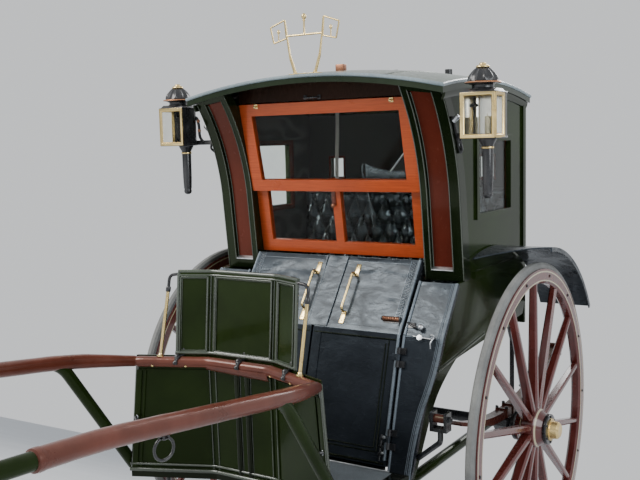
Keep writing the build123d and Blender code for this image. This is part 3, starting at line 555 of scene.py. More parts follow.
GREEN = coach_paint("green_enamel", (0.0165, 0.03, 0.006), (0.008, 0.015, 0.003), 0.14, gloss=0.12)
WARM = (1.0, 0.62, 0.45)
MAROON = coach_paint("maroon_enamel", (0.118, 0.022, 0.012), (0.082, 0.015, 0.009), 0.2, tint=WARM)
JET = coach_paint("black_enamel", (0.006, 0.0085, 0.0045), (0.003, 0.0042, 0.0025), 0.14)
PILLAR = coach_paint("pillar_enamel", (0.0085, 0.015, 0.005), (0.0045, 0.008, 0.0028), 0.15)
# Maroon darkened almost to black for the header, which sits back under the roof's overhang: painted shade.
HEADER_SHADE = coach_paint("header_painted_shade", (0.02, 0.008, 0.005), (0.01, 0.005, 0.003), 0.24, gloss=0.14, tint=WARM)
# The roof's crown colour is a painted sky reflection on its upward faces.
ROOF = coach_paint("roof_canvas_paint", (0.015, 0.024, 0.0085), (0.0085, 0.015, 0.005), 0.18, gloss=0.32,
                   tint=(0.9, 1.0, 0.9), crown=(0.055, 0.098, 0.055))
WHEEL = wheel_paint("wheel_enamel")
LEATHER = black_leather("patent_leather", ripple=1.7)
SEAT_LEATHER = black_leather("seat_leather", (0.022, 0.024, 0.024), 0.22, 0.4, 0.9)
BROWN = brown_leather("rail_leather")
WOOD = sash_wood("sash_wood")
IRON = iron("japanned_iron")
SPRING = coach_paint("spring_paint", (0.11, 0.03, 0.02), (0.06, 0.016, 0.012), 0.26)
BRASS = metal("brass", (0.87, 0.66, 0.3), (0.42, 0.27, 0.1))
SILVER = metal("silvered_reflector", (0.86, 0.85, 0.82), (0.55, 0.52, 0.46), 0.12, 0.3)
PEWTER = metal("pewter", (0.62, 0.64, 0.66), (0.3, 0.31, 0.32), 0.38, 0.6)
# Pale blue-grey on the roof's edge: a painted reflection of the sky.
GUTTER_REFLECTION = coach_paint("gutter_painted_reflection", (0.3, 0.37, 0.4), (0.17, 0.22, 0.24), 0.24, gloss=0.6,
                   tint=(1.0, 1.0, 1.0))
# The beads' green made paler: a painted highlight along their rounded edges.
BEAD_HIGHLIGHT = coach_paint("beading_painted_highlight", (0.056, 0.074, 0.046), (0.026, 0.036, 0.02), 0.16, gloss=0.9,
                      tint=(1.0, 1.0, 1.0))
# Pale blue-grey copy of the black leather for piping and edges: a painted highlight where the leather catches
# the light.
PIPING_HIGHLIGHT = black_leather("piping_painted_highlight", (0.075, 0.088, 0.1), 0.26, 0.4, 0.7)
COPPER = metal("rubbed_copper", (0.72, 0.36, 0.2), (0.3, 0.13, 0.07), 0.3, 0.6)
RUSTED = metal("worn_copper", (0.42, 0.2, 0.12), (0.13, 0.06, 0.04), 0.42, 0.9)
RUBBER = rubber("tyre_rubber")
MATTING = floor_mat("cord_matting")
LINING = trim_cloth("black_cloth", (0.024, 0.027, 0.022), (0.046, 0.05, 0.04))
HEADLINING = trim_cloth("head_lining", (0.05, 0.022, 0.016), (0.085, 0.04, 0.028))
WAX = coach_paint("candle_wax", (0.74, 0.68, 0.52), (0.62, 0.55, 0.4), 0.42)
WEBBING = trim_cloth("grey_webbing", (0.2, 0.19, 0.17), (0.33, 0.32, 0.29))
GLASS = window_glass("window_glass", (0.93, 0.96, 0.94))
LAMP_GLASS = window_glass("bevelled_glass", (0.97, 0.97, 0.93))

SLOTS = {
    "green_paint": (GREEN, PILLAR, BEAD_HIGHLIGHT, GUTTER_REFLECTION, ROOF), "maroon_paint": (MAROON,),
    "black_leather": (LEATHER, SEAT_LEATHER, PIPING_HIGHLIGHT), "brown_leather": (BROWN,),
    "black_iron": (IRON, JET, WAX), "brass": (BRASS, PEWTER, RUSTED, COPPER, SILVER),
    "black_cloth": (LINING, HEADLINING, WEBBING), "grey_mat": (MATTING,),
}
CAD_FINISH = (
    (ROOF, "roof_shell roof_trap_lid"), (PILLAR, "front_pillars"), (HEADER_SHADE, "front_header"),
    (GREEN, "side_panels quarter_panels back_panel dash_panel dash_screen driver_seat"),
    (GREEN, "left_shaft right_shaft"),
    (JET, "floor heel_board seat_base"), (WOOD, "upper_sash lower_sash"), (SPRING, "springs"),
    (GLASS, "cabin_glass front_glass"), (LAMP_GLASS, "lamp_glasses"), (BROWN, "padded_rail"),
    (LEATHER, "front_strips mudguards footboard left_door right_door"),
    (SEAT_LEATHER, "seat_cushion seat_back driver_cushion"),
    (IRON, "trap_hinges door_hinges axle axle_saddles spring_irons driver_irons whip_socket step_irons"
           " dash_posts lamps"),
    (BRASS, "driver_rail left_hub_cap right_hub_cap rein_guide left_door_handle right_door_handle"),
    (WHEEL, "left_wheel right_wheel"), (RUBBER, "left_tyre right_tyre"),
)
for finish, names in CAD_FINISH:
    for name in names.split():
        slots = nodes[name].data.materials
        if not slots:
            slots.append(finish)
        for i in range(len(slots)):
            slots[i] = finish

# --- camera, floor and light
CAMERA_AT = V(2.025, -3.605, 1.923)
AZIMUTH = radians(32.353)
PITCH = radians(6.201)
ROLL = radians(1.386)
FOCAL_PX = 898.174
WIDTH_PX = 640
SENSOR = 36.0


def photo_camera():
    """The photograph's camera, found level and parked with the cab."""
    ahead = V(-sin(AZIMUTH), cos(AZIMUTH), 0)
    right = V(cos(AZIMUTH), sin(AZIMUTH), 0)
    forward = ahead * cos(PITCH) - UP * sin(PITCH)
    down = -UP * cos(PITCH) - ahead * sin(PITCH)
    across = right * cos(ROLL) + down * sin(ROLL)
    below = -right * sin(ROLL) + down * cos(ROLL)
    turn = Matrix((across, -below, -forward)).transposed().to_4x4()
    data = bpy.data.cameras.new("camera")
    data.sensor_width = SENSOR
    data.lens = FOCAL_PX / WIDTH_PX * SENSOR
    camera = bpy.data.objects.new("camera", data)
    camera.matrix_world = PARK @ Matrix.Translation(CAMERA_AT) @ turn
    bpy.context.scene.collection.objects.link(camera)
    bpy.context.scene.camera = camera


def pale_background():
    """A pale room: plain light for the object, a near white for the eye and for gloss."""
    world = bpy.data.worlds.new("studio")
    sky = Nodes(world)
    path = sky.node("LightPath").outputs
    seen = sky.math("MAXIMUM", path["Is Camera Ray"], path["Is Glossy Ray"])
    seen = sky.math("MAXIMUM", seen, path["Is Transmission Ray"])
    light = sky.node("Background", {0: (0.86, 0.92, 1.0, 1.0), 1: 0.55}).outputs[0]
    shown = sky.node("Background", {0: (0.86, 0.88, 0.9, 1.0), 1: 0.92}).outputs[0]
    mixed = sky.node("MixShader", {0: seen, 1: light, 2: shown}).outputs[0]
    sky.node("OutputWorld", {0: mixed})
    bpy.context.scene.world = world


def soft_lamp(name, place, aim, size, power, colour):
    data = bpy.data.lights.new(name, "AREA")
    data.shape = "DISK"
    data.size = size
    data.energy = power
    data.color = colour
    lamp = bpy.data.objects.new(name, data)
    spot = PARK @ Vector(place)
    lamp.location = spot
    lamp.rotation_euler = ((PARK @ Vector(aim)) - spot).to_track_quat("-Z", "Y").to_euler()
    bpy.context.scene.collection.objects.link(lamp)


photo_camera()
pale_background()
soft_lamp("key", (-2.6, -3.6, 5.2), (0, -0.3, 1.4), 3.0, 260, (1.0, 0.98, 0.94))
soft_lamp("fill", (4.2, -1.5, 3.2), (0, -0.2, 1.3), 3.0, 90, (0.93, 0.97, 1.0))
soft_lamp("rim", (0.5, 4.2, 4.0), (0, 0, 1.6), 2.5, 120, (1.0, 1.0, 1.0))

ground = bpy.data.meshes.new("ground")
ground.from_pydata([(-30, -30, 0), (30, -30, 0), (30, 30, 0), (-30, 30, 0)], [], [(0, 1, 2, 3)])
floor = bpy.data.objects.new("ground", ground)
bpy.context.scene.collection.objects.link(floor)
stone = Paint("pale_floor")
stone.colour(stone.mix(stone.span(stone.noise(1.5, 4.0), 0.3, 0.7), (0.74, 0.75, 0.76), (0.8, 0.81, 0.82)))
stone.rough(stone.span(stone.noise(30.0, 4.0), 0.3, 0.8, 0.6, 0.85))
ground.materials.append(stone.material)
floor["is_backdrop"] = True

# --- faces that pieces lie on
def sloping(top, foot):
    """Maps (x, run, out) onto a sloping face, with run measured down from its top edge."""
    down = (foot - top).normalized()
    outward = V(0, down.z, -down.y)

    def at(x, run, out=0.0):
        return V(x, 0, 0) + top + down * run + outward * out
    return at, (foot - top).length


BELT_Z = 1.35
CURVE_LOW = 1.68
CURVE_R = 0.8737
CURVE_Y = -1.1738
CURVE_Z = 1.5879


def pillar_y(z):
    """Front face of the pillars: straight below, curving forward above."""
    if z <= CURVE_LOW:
        return -0.27 - 0.035 * (z - 1.35) / 0.33
    return CURVE_Y + sqrt(CURVE_R**2 - (z - CURVE_Z) ** 2)


def roof_z(x, y):
    return sqrt(ROOF_R**2 - x**2 - (y - ROOF_MID) ** 2) + ROOF_TOP - ROOF_R


def dash_plan(half, y, out=0.0):
    """Three facets seen from above, the outer ones swept forward, set out square to each."""
    slant = hypot(1, DASH_SWEEP)
    mid = DASH_MID - out * (slant - 1) / DASH_SWEEP
    side = y - out * slant - (half - DASH_MID) * DASH_SWEEP
    return [(-half, side), (-mid, y - out), (mid, y - out), (half, side)]


def swept(x, y, out=0.0):
    """Y of the facets at an X."""
    slant = hypot(1, DASH_SWEEP)
    if abs(x) <= DASH_MID:
        return y - out
    return y - out * slant - (abs(x) - DASH_MID) * DASH_SWEEP


on_flap, FLAP_RUN = sloping(FLAP_TOP, KNEE)
on_leaf, LEAF_RUN = sloping(KNEE, DOOR_FOOT)
DOOR_OUT = 0.414
MEETING_GAP = 0.005
FLAP_GAP = 0.0363
DRAW_BACK_Z = (1.146, 1.399)


def meeting_edge(z):
    """X of a door's meeting edge, which draws back above the knee."""
    low, high = DRAW_BACK_Z
    part = (z - low) / (high - low)
    return MEETING_GAP + (FLAP_GAP - MEETING_GAP) * min(max(part, 0.0), 1.0)


# --- pillars
SUNK_IN = 0.455
SUNK_OUT = 0.549
SUNK_LOW = 1.392
SUNK_TOP = 2.112
SUNK_FALL = 0.13
SUNK_DEEP = 0.017
PILLAR_T = 0.062
PILLAR_LOW = 1.3502
ROOF_T = 0.032


def under_roof(x, y):
    """Height of the roof's lower face."""
    return sqrt((ROOF_R - ROOF_T) ** 2 - x**2 - (y - ROOF_MID) ** 2) + ROOF_TOP - ROOF_R


def pillar_top(x):
    return under_roof(x, -0.475) - 0.001


def sunk_top(x):
    """Upper edge of the sunk panel, falling outwards with the roof."""
    return SUNK_TOP - SUNK_FALL * (x - SUNK_IN)


def bent_board(form, x0, x1, low, high, near, far, columns=3):
    """A board that follows the pillar's curve, between two lines and two depths."""
    def face(u, v, deep):
        x = x0 + (x1 - x0) * u
        z = low(x) + (high(x) - low(x)) * v
        return V(x, pillar_y(z) + deep, z)
    sheet(form, face, near, far, columns, 30)


def foot_line(x):
    return PILLAR_LOW


posts = Form()
bent_board(posts, PILLAR_IN + 0.0002, BELT_HALF, foot_line, pillar_top, SUNK_DEEP, PILLAR_T)
bent_board(posts, PILLAR_IN + 0.0002, SUNK_IN, foot_line, pillar_top, 0.0, SUNK_DEEP)
bent_board(posts, SUNK_OUT, BELT_HALF, foot_line, pillar_top, 0.0, SUNK_DEEP)
bent_board(posts, SUNK_IN, SUNK_OUT, foot_line, lambda x: SUNK_LOW, 0.0, SUNK_DEEP)
bent_board(posts, SUNK_IN, SUNK_OUT, sunk_top, pillar_top, 0.0, SUNK_DEEP)
piece = dress("pillar_boards", posts.with_mirror(), PILLAR)
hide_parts("front_pillars")
panels = Form()
bent_board(panels, SUNK_IN + 0.0005, SUNK_OUT - 0.0005, lambda x: SUNK_LOW + 0.0005,
           lambda x: sunk_top(x) - 0.0005, SUNK_DEEP - 0.0014, SUNK_DEEP + 0.001)
dress("pillar_panels", panels.with_mirror(), MAROON)

beads = Form()
for x, low, high, deep in (
    (PILLAR_IN + 0.003, PILLAR_LOW + 0.004, pillar_top(PILLAR_IN) - 0.004, -0.0006),
    (SUNK_IN - 0.0026, SUNK_LOW - 0.004, SUNK_TOP + 0.003, -0.0006),
    (SUNK_OUT + 0.0026, SUNK_LOW - 0.004, sunk_top(SUNK_OUT) + 0.003, -0.0006),
    (BELT_HALF - 0.003, PILLAR_LOW + 0.004, pillar_top(BELT_HALF) - 0.004, -0.0006),
    (SUNK_IN + 0.0034, SUNK_LOW + 0.004, SUNK_TOP - 0.004, SUNK_DEEP - 0.003),
    (SUNK_OUT - 0.0034, SUNK_LOW + 0.004, sunk_top(SUNK_OUT) - 0.004, SUNK_DEEP - 0.003),
):
    tube(beads, [V(x, pillar_y(z) + deep, z) for z in ramp(low, high, 30)], 0.0026, 8)
dress("pillar_beads", beads.with_mirror(), BEAD_HIGHLIGHT)
ledge = Form()
z0 = SUNK_LOW - 0.002
y0 = pillar_y(z0)
prism(ledge, [
    (SUNK_IN, y0 + SUNK_DEEP, z0), (SUNK_IN, y0 - 0.003, z0), (SUNK_IN, y0 - 0.003, z0 + 0.003),
    (SUNK_IN, y0 + SUNK_DEEP - 0.003, z0 + 0.015), (SUNK_IN, y0 + SUNK_DEEP, z0 + 0.015),
], (SUNK_OUT - SUNK_IN, 0, 0))
dress("pillar_ledges", ledge.with_mirror(), PEWTER, 0.0006)

# --- roof edge and crown
GUTTER_R = 0.0075


def roof_edge(x, y):
    return V(x, y, roof_z(x, y) - 0.003)


edge = [roof_edge(x, ROOF_FRONT) for x in ramp(-ROOF_HALF, ROOF_HALF, 40)]
edge += [roof_edge(ROOF_HALF, y) for y in ramp(ROOF_FRONT, ROOF_REAR, 24, 1)]
edge += [roof_edge(x, ROOF_REAR) for x in ramp(ROOF_HALF, -ROOF_HALF, 40, 1)]
edge += [roof_edge(-ROOF_HALF, y) for y in ramp(ROOF_REAR, ROOF_FRONT, 24, 1, 0)]
gutter = Form()
tube(gutter, edge, GUTTER_R, 8, closed=True)
dress("roof_gutter", gutter, GUTTER_REFLECTION)
COVE = 0.016
cove = Form()


def cove_skin(u, v, lift):
    """A quarter round that fills the corner between the roof's overhang and a side."""
    y = -0.474 + 0.912 * u
    a = radians(90 * v)
    return V(BELT_HALF - 0.002 + (COVE + lift) * cos(a), y,
             under_roof(BELT_HALF + COVE, y) - 0.0008 - (0.03 + lift) * sin(a))


sheet(cove, cove_skin, 0.0, -0.01, 30, 8)
dress("roof_coves", cove.with_mirror(), PILLAR)

seams = Form()
for x in (-0.36, 0.36):
    line = [V(x, y, roof_z(x, y) - 0.001) for y in ramp(ROOF_FRONT + 0.02, ROOF_REAR - 0.02, 30)]
    tube(seams, line, 0.004, 8)
dress("roof_seams", seams, ROOF)

rest = Form()
crown = roof_z(-0.012, -0.184)
box(rest, -0.032, 0.008, -0.2, -0.168, crown - 0.004, crown + 0.03)
dress("roof_rein_rest", rest, RUSTED, 0.004)

# --- sash fittings
UPPER_LEAN = radians(12.6)
LOWER_LEAN = radians(8.2)
SASH_FRONT = 0.014


def on_sash(y, z, lean):
    """Maps (x, rise, out) onto the front face of a leaning sash."""
    def at(x, v, out=0.0):
        reach = out + SASH_FRONT
        return V(x, y - reach * cos(lean) - v * sin(lean), z - reach * sin(lean) + v * cos(lean))
    return at


on_upper = on_sash(-0.298, 1.763, UPPER_LEAN)
on_lower = on_sash(-0.224, 1.487, LOWER_LEAN)


def slab(form, at, x0, x1, a, b, out0, out1):
    """A flat plate on a mapped face."""
    corners = [at(x, v, o) for o in (out0, out1) for v in (a, b) for x in (x0, x1)]
    return form.add(corners, BOX_FACES)


def screw(form, centre, outward, radius=0.0032, high=0.0014):
    """A domed screw head."""
    lathe(form, [(radius, 0), (radius, high * 0.4), (radius * 0.72, high * 0.85), (0.0004, high)],
          (centre, outward), 12)


HEADER_FACE = -0.386
catches = Form()
out_upper = (on_upper(0, 0, 1) - on_upper(0, 0, 0)).normalized()
out_lower = (on_lower(0, 0, 1) - on_lower(0, 0, 0)).normalized()
for s in (-1, 1):
    slab(catches, on_upper, s * 0.334 - 0.005, s * 0.334 + 0.013, 0.324, 0.343, 0.0001, 0.003)
    turned(catches, [(4, 0), (4, 6), (6.5, 8), (6.5, 12), (4, 14.5), (0.4, 15)],
           (on_upper(s * 0.334 + 0.004, 0.3335, 0.003), out_upper), 16)
dress("sash_catches", catches, BRASS, 0.0006)

bow = Form()
HANDLE_Z = 2.113
for x in (-0.07, 0.0):
    box(bow, x - 0.007, x + 0.007, HEADER_FACE - 0.004, HEADER_FACE, HANDLE_Z - 0.009, HANDLE_Z + 0.009)
grip = [V(x, HEADER_FACE - out, HANDLE_Z - drop)
        for x, out, drop in ((-0.07, 0.002, 0), (-0.066, 0.022, 0.003), (-0.004, 0.022, 0.003),
                             (0, 0.002, 0))]
tube(bow, rounded_path(grip, 0.012), 0.0048, 10)
dress("header_bow_handle", bow, IRON, 0.0006)

tab = Form()
slab(tab, on_lower, -0.0235, -0.0025, 0.166, 0.258, 0.0001, 0.0035)
dress("sash_strap_tab", tab, BROWN, 0.001)
knob = Form()
turned(knob, [(5, 0), (5, 4), (8.5, 8), (8.5, 13), (5, 17), (0.5, 18)],
       (on_lower(-0.013, 0.166, 0.003), out_lower), 18)
for v in (0.2, 0.248):
    screw(knob, on_lower(-0.013, v, 0.0034), out_lower)
dress("sash_strap_knob", knob, RUSTED)

pull = Form()
sheet(pull, lambda u, v, y: V(-0.044 + 0.017 * u - 0.012 * (1 - v), y - 0.002 * sin(v * 9),
                              1.752 + 0.44 * v), -0.18, -0.1775, 3, 30)
dress("sash_pull_strap", pull, WEBBING)

# --- doors
def flap_wave(x, run, side):
    """Cockles of the leather over a door's flap."""
    x *= side
    broad = 0.0011 * drift(x * 5.0, run * 16.0, 1.3 * side)
    return 0.003 + broad + 0.0007 * drift(x * 14.0, run * 34.0, 4.1 * side)


def edge_fade(t, width):
    return min(1.0, t / width, (1.0 - t) / width)


EDGE_X = 0.4065
STITCH = 0.0128
for side, sign in (("left", 1), ("right", -1)):
    door = side + "_door"

    def skin(u, v, out, sign=sign):
        run = 0.0025 + (FLAP_RUN - 0.024) * v
        x0 = meeting_edge(on_flap(0, run).z) + 0.0095
        x = x0 + (DOOR_OUT - 0.01 - x0) * u
        if out > 0.001:
            fade = max(0.0, min(1.0, edge_fade(u, 0.03), edge_fade(v, 0.05)))
            out = 0.0012 + (flap_wave(x, run, sign) - 0.0012) * fade
        return flip([on_flap(x, run, out)], sign)[0]

    def lay(form, line, radius, sides=8, sign=sign):
        """A bead along a line, on this door's side."""
        tube(form, flip(line, sign), radius, sides)

    leather = Form()
    sheet(leather, skin, 0.002, 0.0002, 56, 44)
    dress(side + "_flap_leather", leather, LEATHER, body=door)

    trim = Form()
    path = [on_flap(EDGE_X, run, 0.0035) for run in ramp(0.004, FLAP_RUN, 20, 0, 0)]
    path += [on_leaf(EDGE_X, run, 0.0035) for run in ramp(0.006, LEAF_RUN - 0.024, 30)]
    lay(trim, path, 0.0062, 12)
    dress(side + "_door_piping", trim, PIPING_HIGHLIGHT, body=door)

    inset = Form()
    for x0, a0 in ((0.352, 0.04), (0.366, 0.028)):
        foot = x0 + 0.1
        corners = [on_leaf(x, run, 0.0008) for x, run in ((x0, a0), (x0, foot), (0.02, foot))]
        lay(inset, rounded_path(corners, 0.006, 3), 0.0024)
    for run, out, radius in ((0.0215, 0.0022, 0.003), (LEAF_RUN - 0.01, 0.001, 0.0045)):
        lay(inset, [on_leaf(x, run, out) for x in ramp(0.012, DOOR_OUT - 0.01, 24)], radius)
    dress(side + "_leaf_mouldings", inset, JET, body=door, slot="black_leather")

    stitches = Form()
    for i in range(22):
        a, b = 0.012 + STITCH * i, 0.012 + STITCH * (i + 1)
        for x0, x1 in ((0.374, 0.394), (0.394, 0.374)):
            middle = on_flap((x0 + x1) / 2, (a + b) / 2, 0.005)
            lay(stitches, [on_flap(x0, a, 0.004), middle, on_flap(x1, b, 0.004)], 0.0011, 6)
    for x in (0.37, 0.398):
        lay(stitches, [on_flap(x, run, 0.0036 + 0.0006 * drift(x * 9, i * 0.7, sign))
                       for i, run in enumerate(ramp(0.008, 0.29, 20))], 0.0017, 6)
    lay(stitches, [on_flap(x, 0.024 + 0.0016 * drift(i * 0.35, 2.0, sign), 0.0034)
                   for i, x in enumerate(ramp(0.06, 0.378, 30))], 0.0015, 6)
    dress(side + "_flap_stitching", stitches, PIPING_HIGHLIGHT, body=door)


def lap(u, v, out):
    """The strip of leather over the doors' meeting, on the left door."""
    run = 0.003 + (FLAP_RUN - 0.006) * v
    wave = 0.0008 * drift(u * 2.0, v * 7.0, 9.1)
    return on_flap(-0.03 + 0.098 * u, run, out + (wave if out > 0.006 else 0))


strip = Form()
sheet(strip, lap, 0.0072, 0.0044, 12, 36)
dress("lap_strip", strip, LEATHER, body="left_door")
welt = Form()
for x in (-0.0285, 0.0665):
    tube(welt, [on_flap(x, run, 0.0072) for run in ramp(0.004, FLAP_RUN - 0.004, 20)], 0.0014, 8)
dress("lap_strip_welts", welt, PIPING_HIGHLIGHT, body="left_door")

# --- door handles
HANDLE_X = {"left": 0.13, "right": -0.066}
PLATE_RUNS = ((0.038, 0.096), (0.262, 0.317))
BAR_RUNS = (0.09, 0.268)
FLAP_OUT = V(0, -0.803, 0.596)
LEAF_OUT = V(0, -0.959, 0.285)
for side, x in HANDLE_X.items():
    handle = Form()
    a, b = BAR_RUNS
    grip = [on_flap(x, run, out)
            for run, out in ((a, 0.004), (a + 0.004, 0.036), (b - 0.004, 0.036), (b, 0.004))]
    tube(handle, rounded_path(grip, 0.009), 0.0052, 14)
    for run in BAR_RUNS:
        turned(handle, [(8.5, 0), (8.5, 2), (6.2, 6)], (on_flap(x, run, 0.0045), FLAP_OUT), 16)
    for low, high in PLATE_RUNS:
        slab(handle, on_flap, x - 0.01, x + 0.01, low, high, 0.0022, 0.0052)
        for run in (low + 0.01, high - 0.012):
            screw(handle, on_flap(x, run, 0.0052), FLAP_OUT)
    piece = dress(side + "_handle_bright", handle, BRASS, 0.0007, body=side + "_door")
    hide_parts(side + "_door_handle")

# --- dash and its screen
FLOOR_Z = 0.65
DASH_TOP_Z = 1.1187
DASH_BACK = 0.006
DASH_FOOT_HALF = 0.466
DASH_TOP_HALF = 0.422
SCREEN_HALF = 0.278
SCREEN_Y = -0.945
SCREEN_Z = (1.119, 1.437)
SCREEN_BACK = -0.03


def on_dash(x, z, out=0.0):
    lean = DASH_BACK * (DASH_TOP_Z - z) / (DASH_TOP_Z - FLOOR_Z)
    return V(x, swept(x, DASH_Y + lean, out), z)


def on_screen(x, z, out=0.0):
    lean = SCREEN_BACK * (SCREEN_Z[1] - z) / (SCREEN_Z[1] - SCREEN_Z[0])
    return V(x, swept(x, SCREEN_Y + lean, out), z)


def strip_on(form, at, x, z0, z1, half, out):
    """A thin upright strip on a facet."""
    verts = [at(x + s * half, z, o) for o in (0.0002, out) for z in (z0, z1) for s in (-1, 1)]
    return form.add(verts, BOX_FACES)


def courses(form, at, half, rows):
    """Beads over the three facets, each (height, out, radius, sides)."""
    for z, out, radius, sides in rows:
        line = [at(x, z, out) for x in (-half, -DASH_MID, DASH_MID, half)]
        tube(form, rounded_path(line, 0.02), radius, sides)


def upright(form, at, x, z0, z1, out, radius, sides=8):
    tube(form, [at(x, z0, out), at(x, z1, out)], radius, sides)


cap = Form()
low, top = SCREEN_Z
courses(cap, on_screen, SCREEN_HALF, ((top + 0.004, -0.005, 0.0068, 12), (top - 0.01, 0.0, 0.004, 10),
                                      (low + 0.01, 0.001, 0.0075, 12)))
for s in (-1, 1):
    upright(cap, on_screen, s * (SCREEN_HALF - 0.004), low + 0.004, top, -0.002, 0.007, 12)
dress("screen_beading", cap, BEAD_HIGHLIGHT)
pairs = Form()
for s in (-1, 1):
    for off in (-0.007, 0.007):
        upright(pairs, on_screen, s * (DASH_MID + off), low + 0.012, top - 0.008, 0.0005, 0.0028)
dress("screen_joint_beads", pairs, BEAD_HIGHLIGHT)


def panel_edge(at, a0, a1, b0, b1, inset, out):
    """The corners of a mapped rectangle, set in from its edges."""
    return [at(a0 + inset, b0 + inset, out), at(a1 - inset, b0 + inset, out),
            at(a1 - inset, b1 - inset, out), at(a0 + inset, b1 - inset, out)]


rims = Form()
bays = ((-SCREEN_HALF, -DASH_MID), (-DASH_MID, DASH_MID), (DASH_MID, SCREEN_HALF))
for x0, x1 in bays:
    for inset, out, radius, sides in ((0.016, 0.005, 0.003, 8), (0.0205, 0.003, 0.0016, 6)):
        edge = panel_edge(on_screen, x0, x1, *SCREEN_Z, inset, out)
        tube(rims, rounded_path(edge, 0.004, 3, True), radius, sides, True)
dress("panel_rims", rims, BEAD_HIGHLIGHT)

BEAD_Z = (FLOOR_Z + 0.012, 1.07)
stripes = Form()
for x in (-0.024, 0.024):
    strip_on(stripes, on_dash, x, *BEAD_Z, 0.0105, 0.006)
    strip_on(stripes, on_dash, x, *BEAD_Z, 0.005, 0.0085)
dress("dash_stripes", stripes, JET, 0.0008)
joints = Form()
for s in (-1, 1):
    for off in (-0.018, 0.008):
        upright(joints, on_dash, s * (DASH_MID + off), FLOOR_Z + 0.01, 1.074, 0.0008, 0.0036)
for x in (-0.037, -0.011, 0.011, 0.037):
    upright(joints, on_dash, x, *BEAD_Z, 0.0008, 0.0016, 6)
dress("dash_joint_beads", joints, BEAD_HIGHLIGHT)

feet = Form()
courses(feet, on_dash, DASH_FOOT_HALF, ((FLOOR_Z + 0.008, 0.006, 0.0078, 12),
                                        (FLOOR_Z + 0.03, 0.003, 0.005, 10)))
for s in (-1, 1):
    tube(feet, [on_dash(s * 0.462, FLOOR_Z + 0.004, -0.003), on_dash(s * 0.419, DASH_TOP_Z - 0.012, -0.003)],
         0.008, 12)
dress("dash_beading", feet, BEAD_HIGHLIGHT)

stiles = Form()
ends = (FLOOR_Z + 0.016, 1.06)
slope = (DASH_TOP_HALF - DASH_FOOT_HALF) / (DASH_TOP_Z - FLOOR_Z)
for s in (-1, 1):
    for inset, wide in ((0.006, 0.02), (0.034, 0.008)):
        stiles.add([on_dash(s * (DASH_FOOT_HALF + slope * (z - FLOOR_Z) - inset - w), z, out)
                    for out in (0.0003, 0.006) for z in ends for w in (0.0, wide)], BOX_FACES)
dress("dash_end_stiles", stiles, GREEN, 0.0012)

grips = Form()
nuts = Form()
for s in (-1, 1):
    path = [(0.434, 0.87, 0.002), (0.426, 0.872, 0.018), (0.41, 0.869, 0.036), (0.402, 0.848, 0.04),
            (0.396, 0.824, 0.028), (0.392, 0.808, 0.004)]
    tube(grips, rounded_path([on_dash(s * x, z, o) for x, z, o in path], 0.01), 0.0062, 12)
    face = (s * 0.395, -0.919, 0)
    for high, wide in ((0, 13.5), (6, 10.5)):
        turned(nuts, [(wide, high), (wide, high + 3.5), (wide - 3, high + 5), (4, high + 5.2)],
               (on_dash(s * 0.392, 0.807, 0.0008), face), 18)
    turned(nuts, [(10.5, 0), (10.5, 3), (7, 4.5)], (on_dash(s * 0.433, 0.87, 0.0008), face), 18)
dress("dash_grips", grips, IRON)
dress("dash_grip_nuts", nuts, PEWTER)

# --- padded rail and shaft covers
RAIL_R = 0.0205
RAIL_OUT = 0.0203
COVER_R = 0.0272
BOW = V(SHAFT_X, -2.15, 1.243)
BEND = V(SHAFT_X, -1.42, 1.152)
RISE_FRONT = (SHAFT_TIP[1] - BOW.z) / (SHAFT_TIP[0] - BOW.y)
RISE_BACK = (BOW.z - BEND.z) / (BOW.y - BEND.y)
RAIL_PLAN = dash_plan(0.412, RAIL_FACE, RAIL_OUT)
corner = V(*RAIL_PLAN[3], RAIL_Z)
cover_tip = V(SHAFT_X, -2.35, BOW.z + RISE_FRONT * (-2.35 - BOW.y))
cover_end = V(SHAFT_X, -1.36, BEND.z + RISE_BACK * 0.06)
joint = corner + V(0.004, 0.004, 0)


def leather_roll(points, radius, seed, step=0.012, ends=0.86, turn=0.1):
    """Evenly spaced points along a roll of stuffed leather, with its uneven radius."""
    points = rounded_path(points, turn, 6)
    length = [0.0]
    for a, b in zip(points, points[1:]):
        length.append(length[-1] + (b - a).length)
    count = max(2, int(length[-1] / step))
    out = []
    radii = []
    k = 0
    for i in range(count + 1):
        at = length[-1] * i / count
        while k < len(points) - 2 and length[k + 1] < at:
            k += 1
        span = max(length[k + 1] - length[k], 1e-6)
        p = points[k].lerp(points[k + 1], min(1.0, max(0.0, (at - length[k]) / span)))
        wobble = 0.0007 * drift(at * 14.0, seed, 0) + 0.0005 * drift(at * 60.0, seed, 2)
        pinch = ends if i in (0, count) else 1.0
        out.append(p)
        radii.append((radius + wobble) * pinch)
    return out, radii


def thinned(line, i):
    """How much the leather thins at a point towards its roll's end at the corner."""
    return 0.77 + 0.23 * min(1.0, (line[-1] - line[i]).length / 0.22)


rail = Form()
rail_line, rail_radii = leather_roll([V(x, y, RAIL_Z) for x, y in RAIL_PLAN], RAIL_R, 1.0, turn=0.02)
tube(rail, rail_line, RAIL_R, 28, radii=rail_radii)
cover_lines = {}
for s in (1, -1):
    route = flip((cover_tip, BOW, cover_end, joint), s)
    line, radii = leather_roll(route, COVER_R, 3.0 + s, ends=0.95, turn=0.16)
    for i in range(len(line)):
        radii[i] *= thinned(line, i)
    cover_lines[s] = line
    tube(rail, line, COVER_R, 32, radii=radii)
padded = dress("padded_rail_leather", rail, BROWN, sharp=60)
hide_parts("padded_rail")

stitch = Form()
tacks = Form()


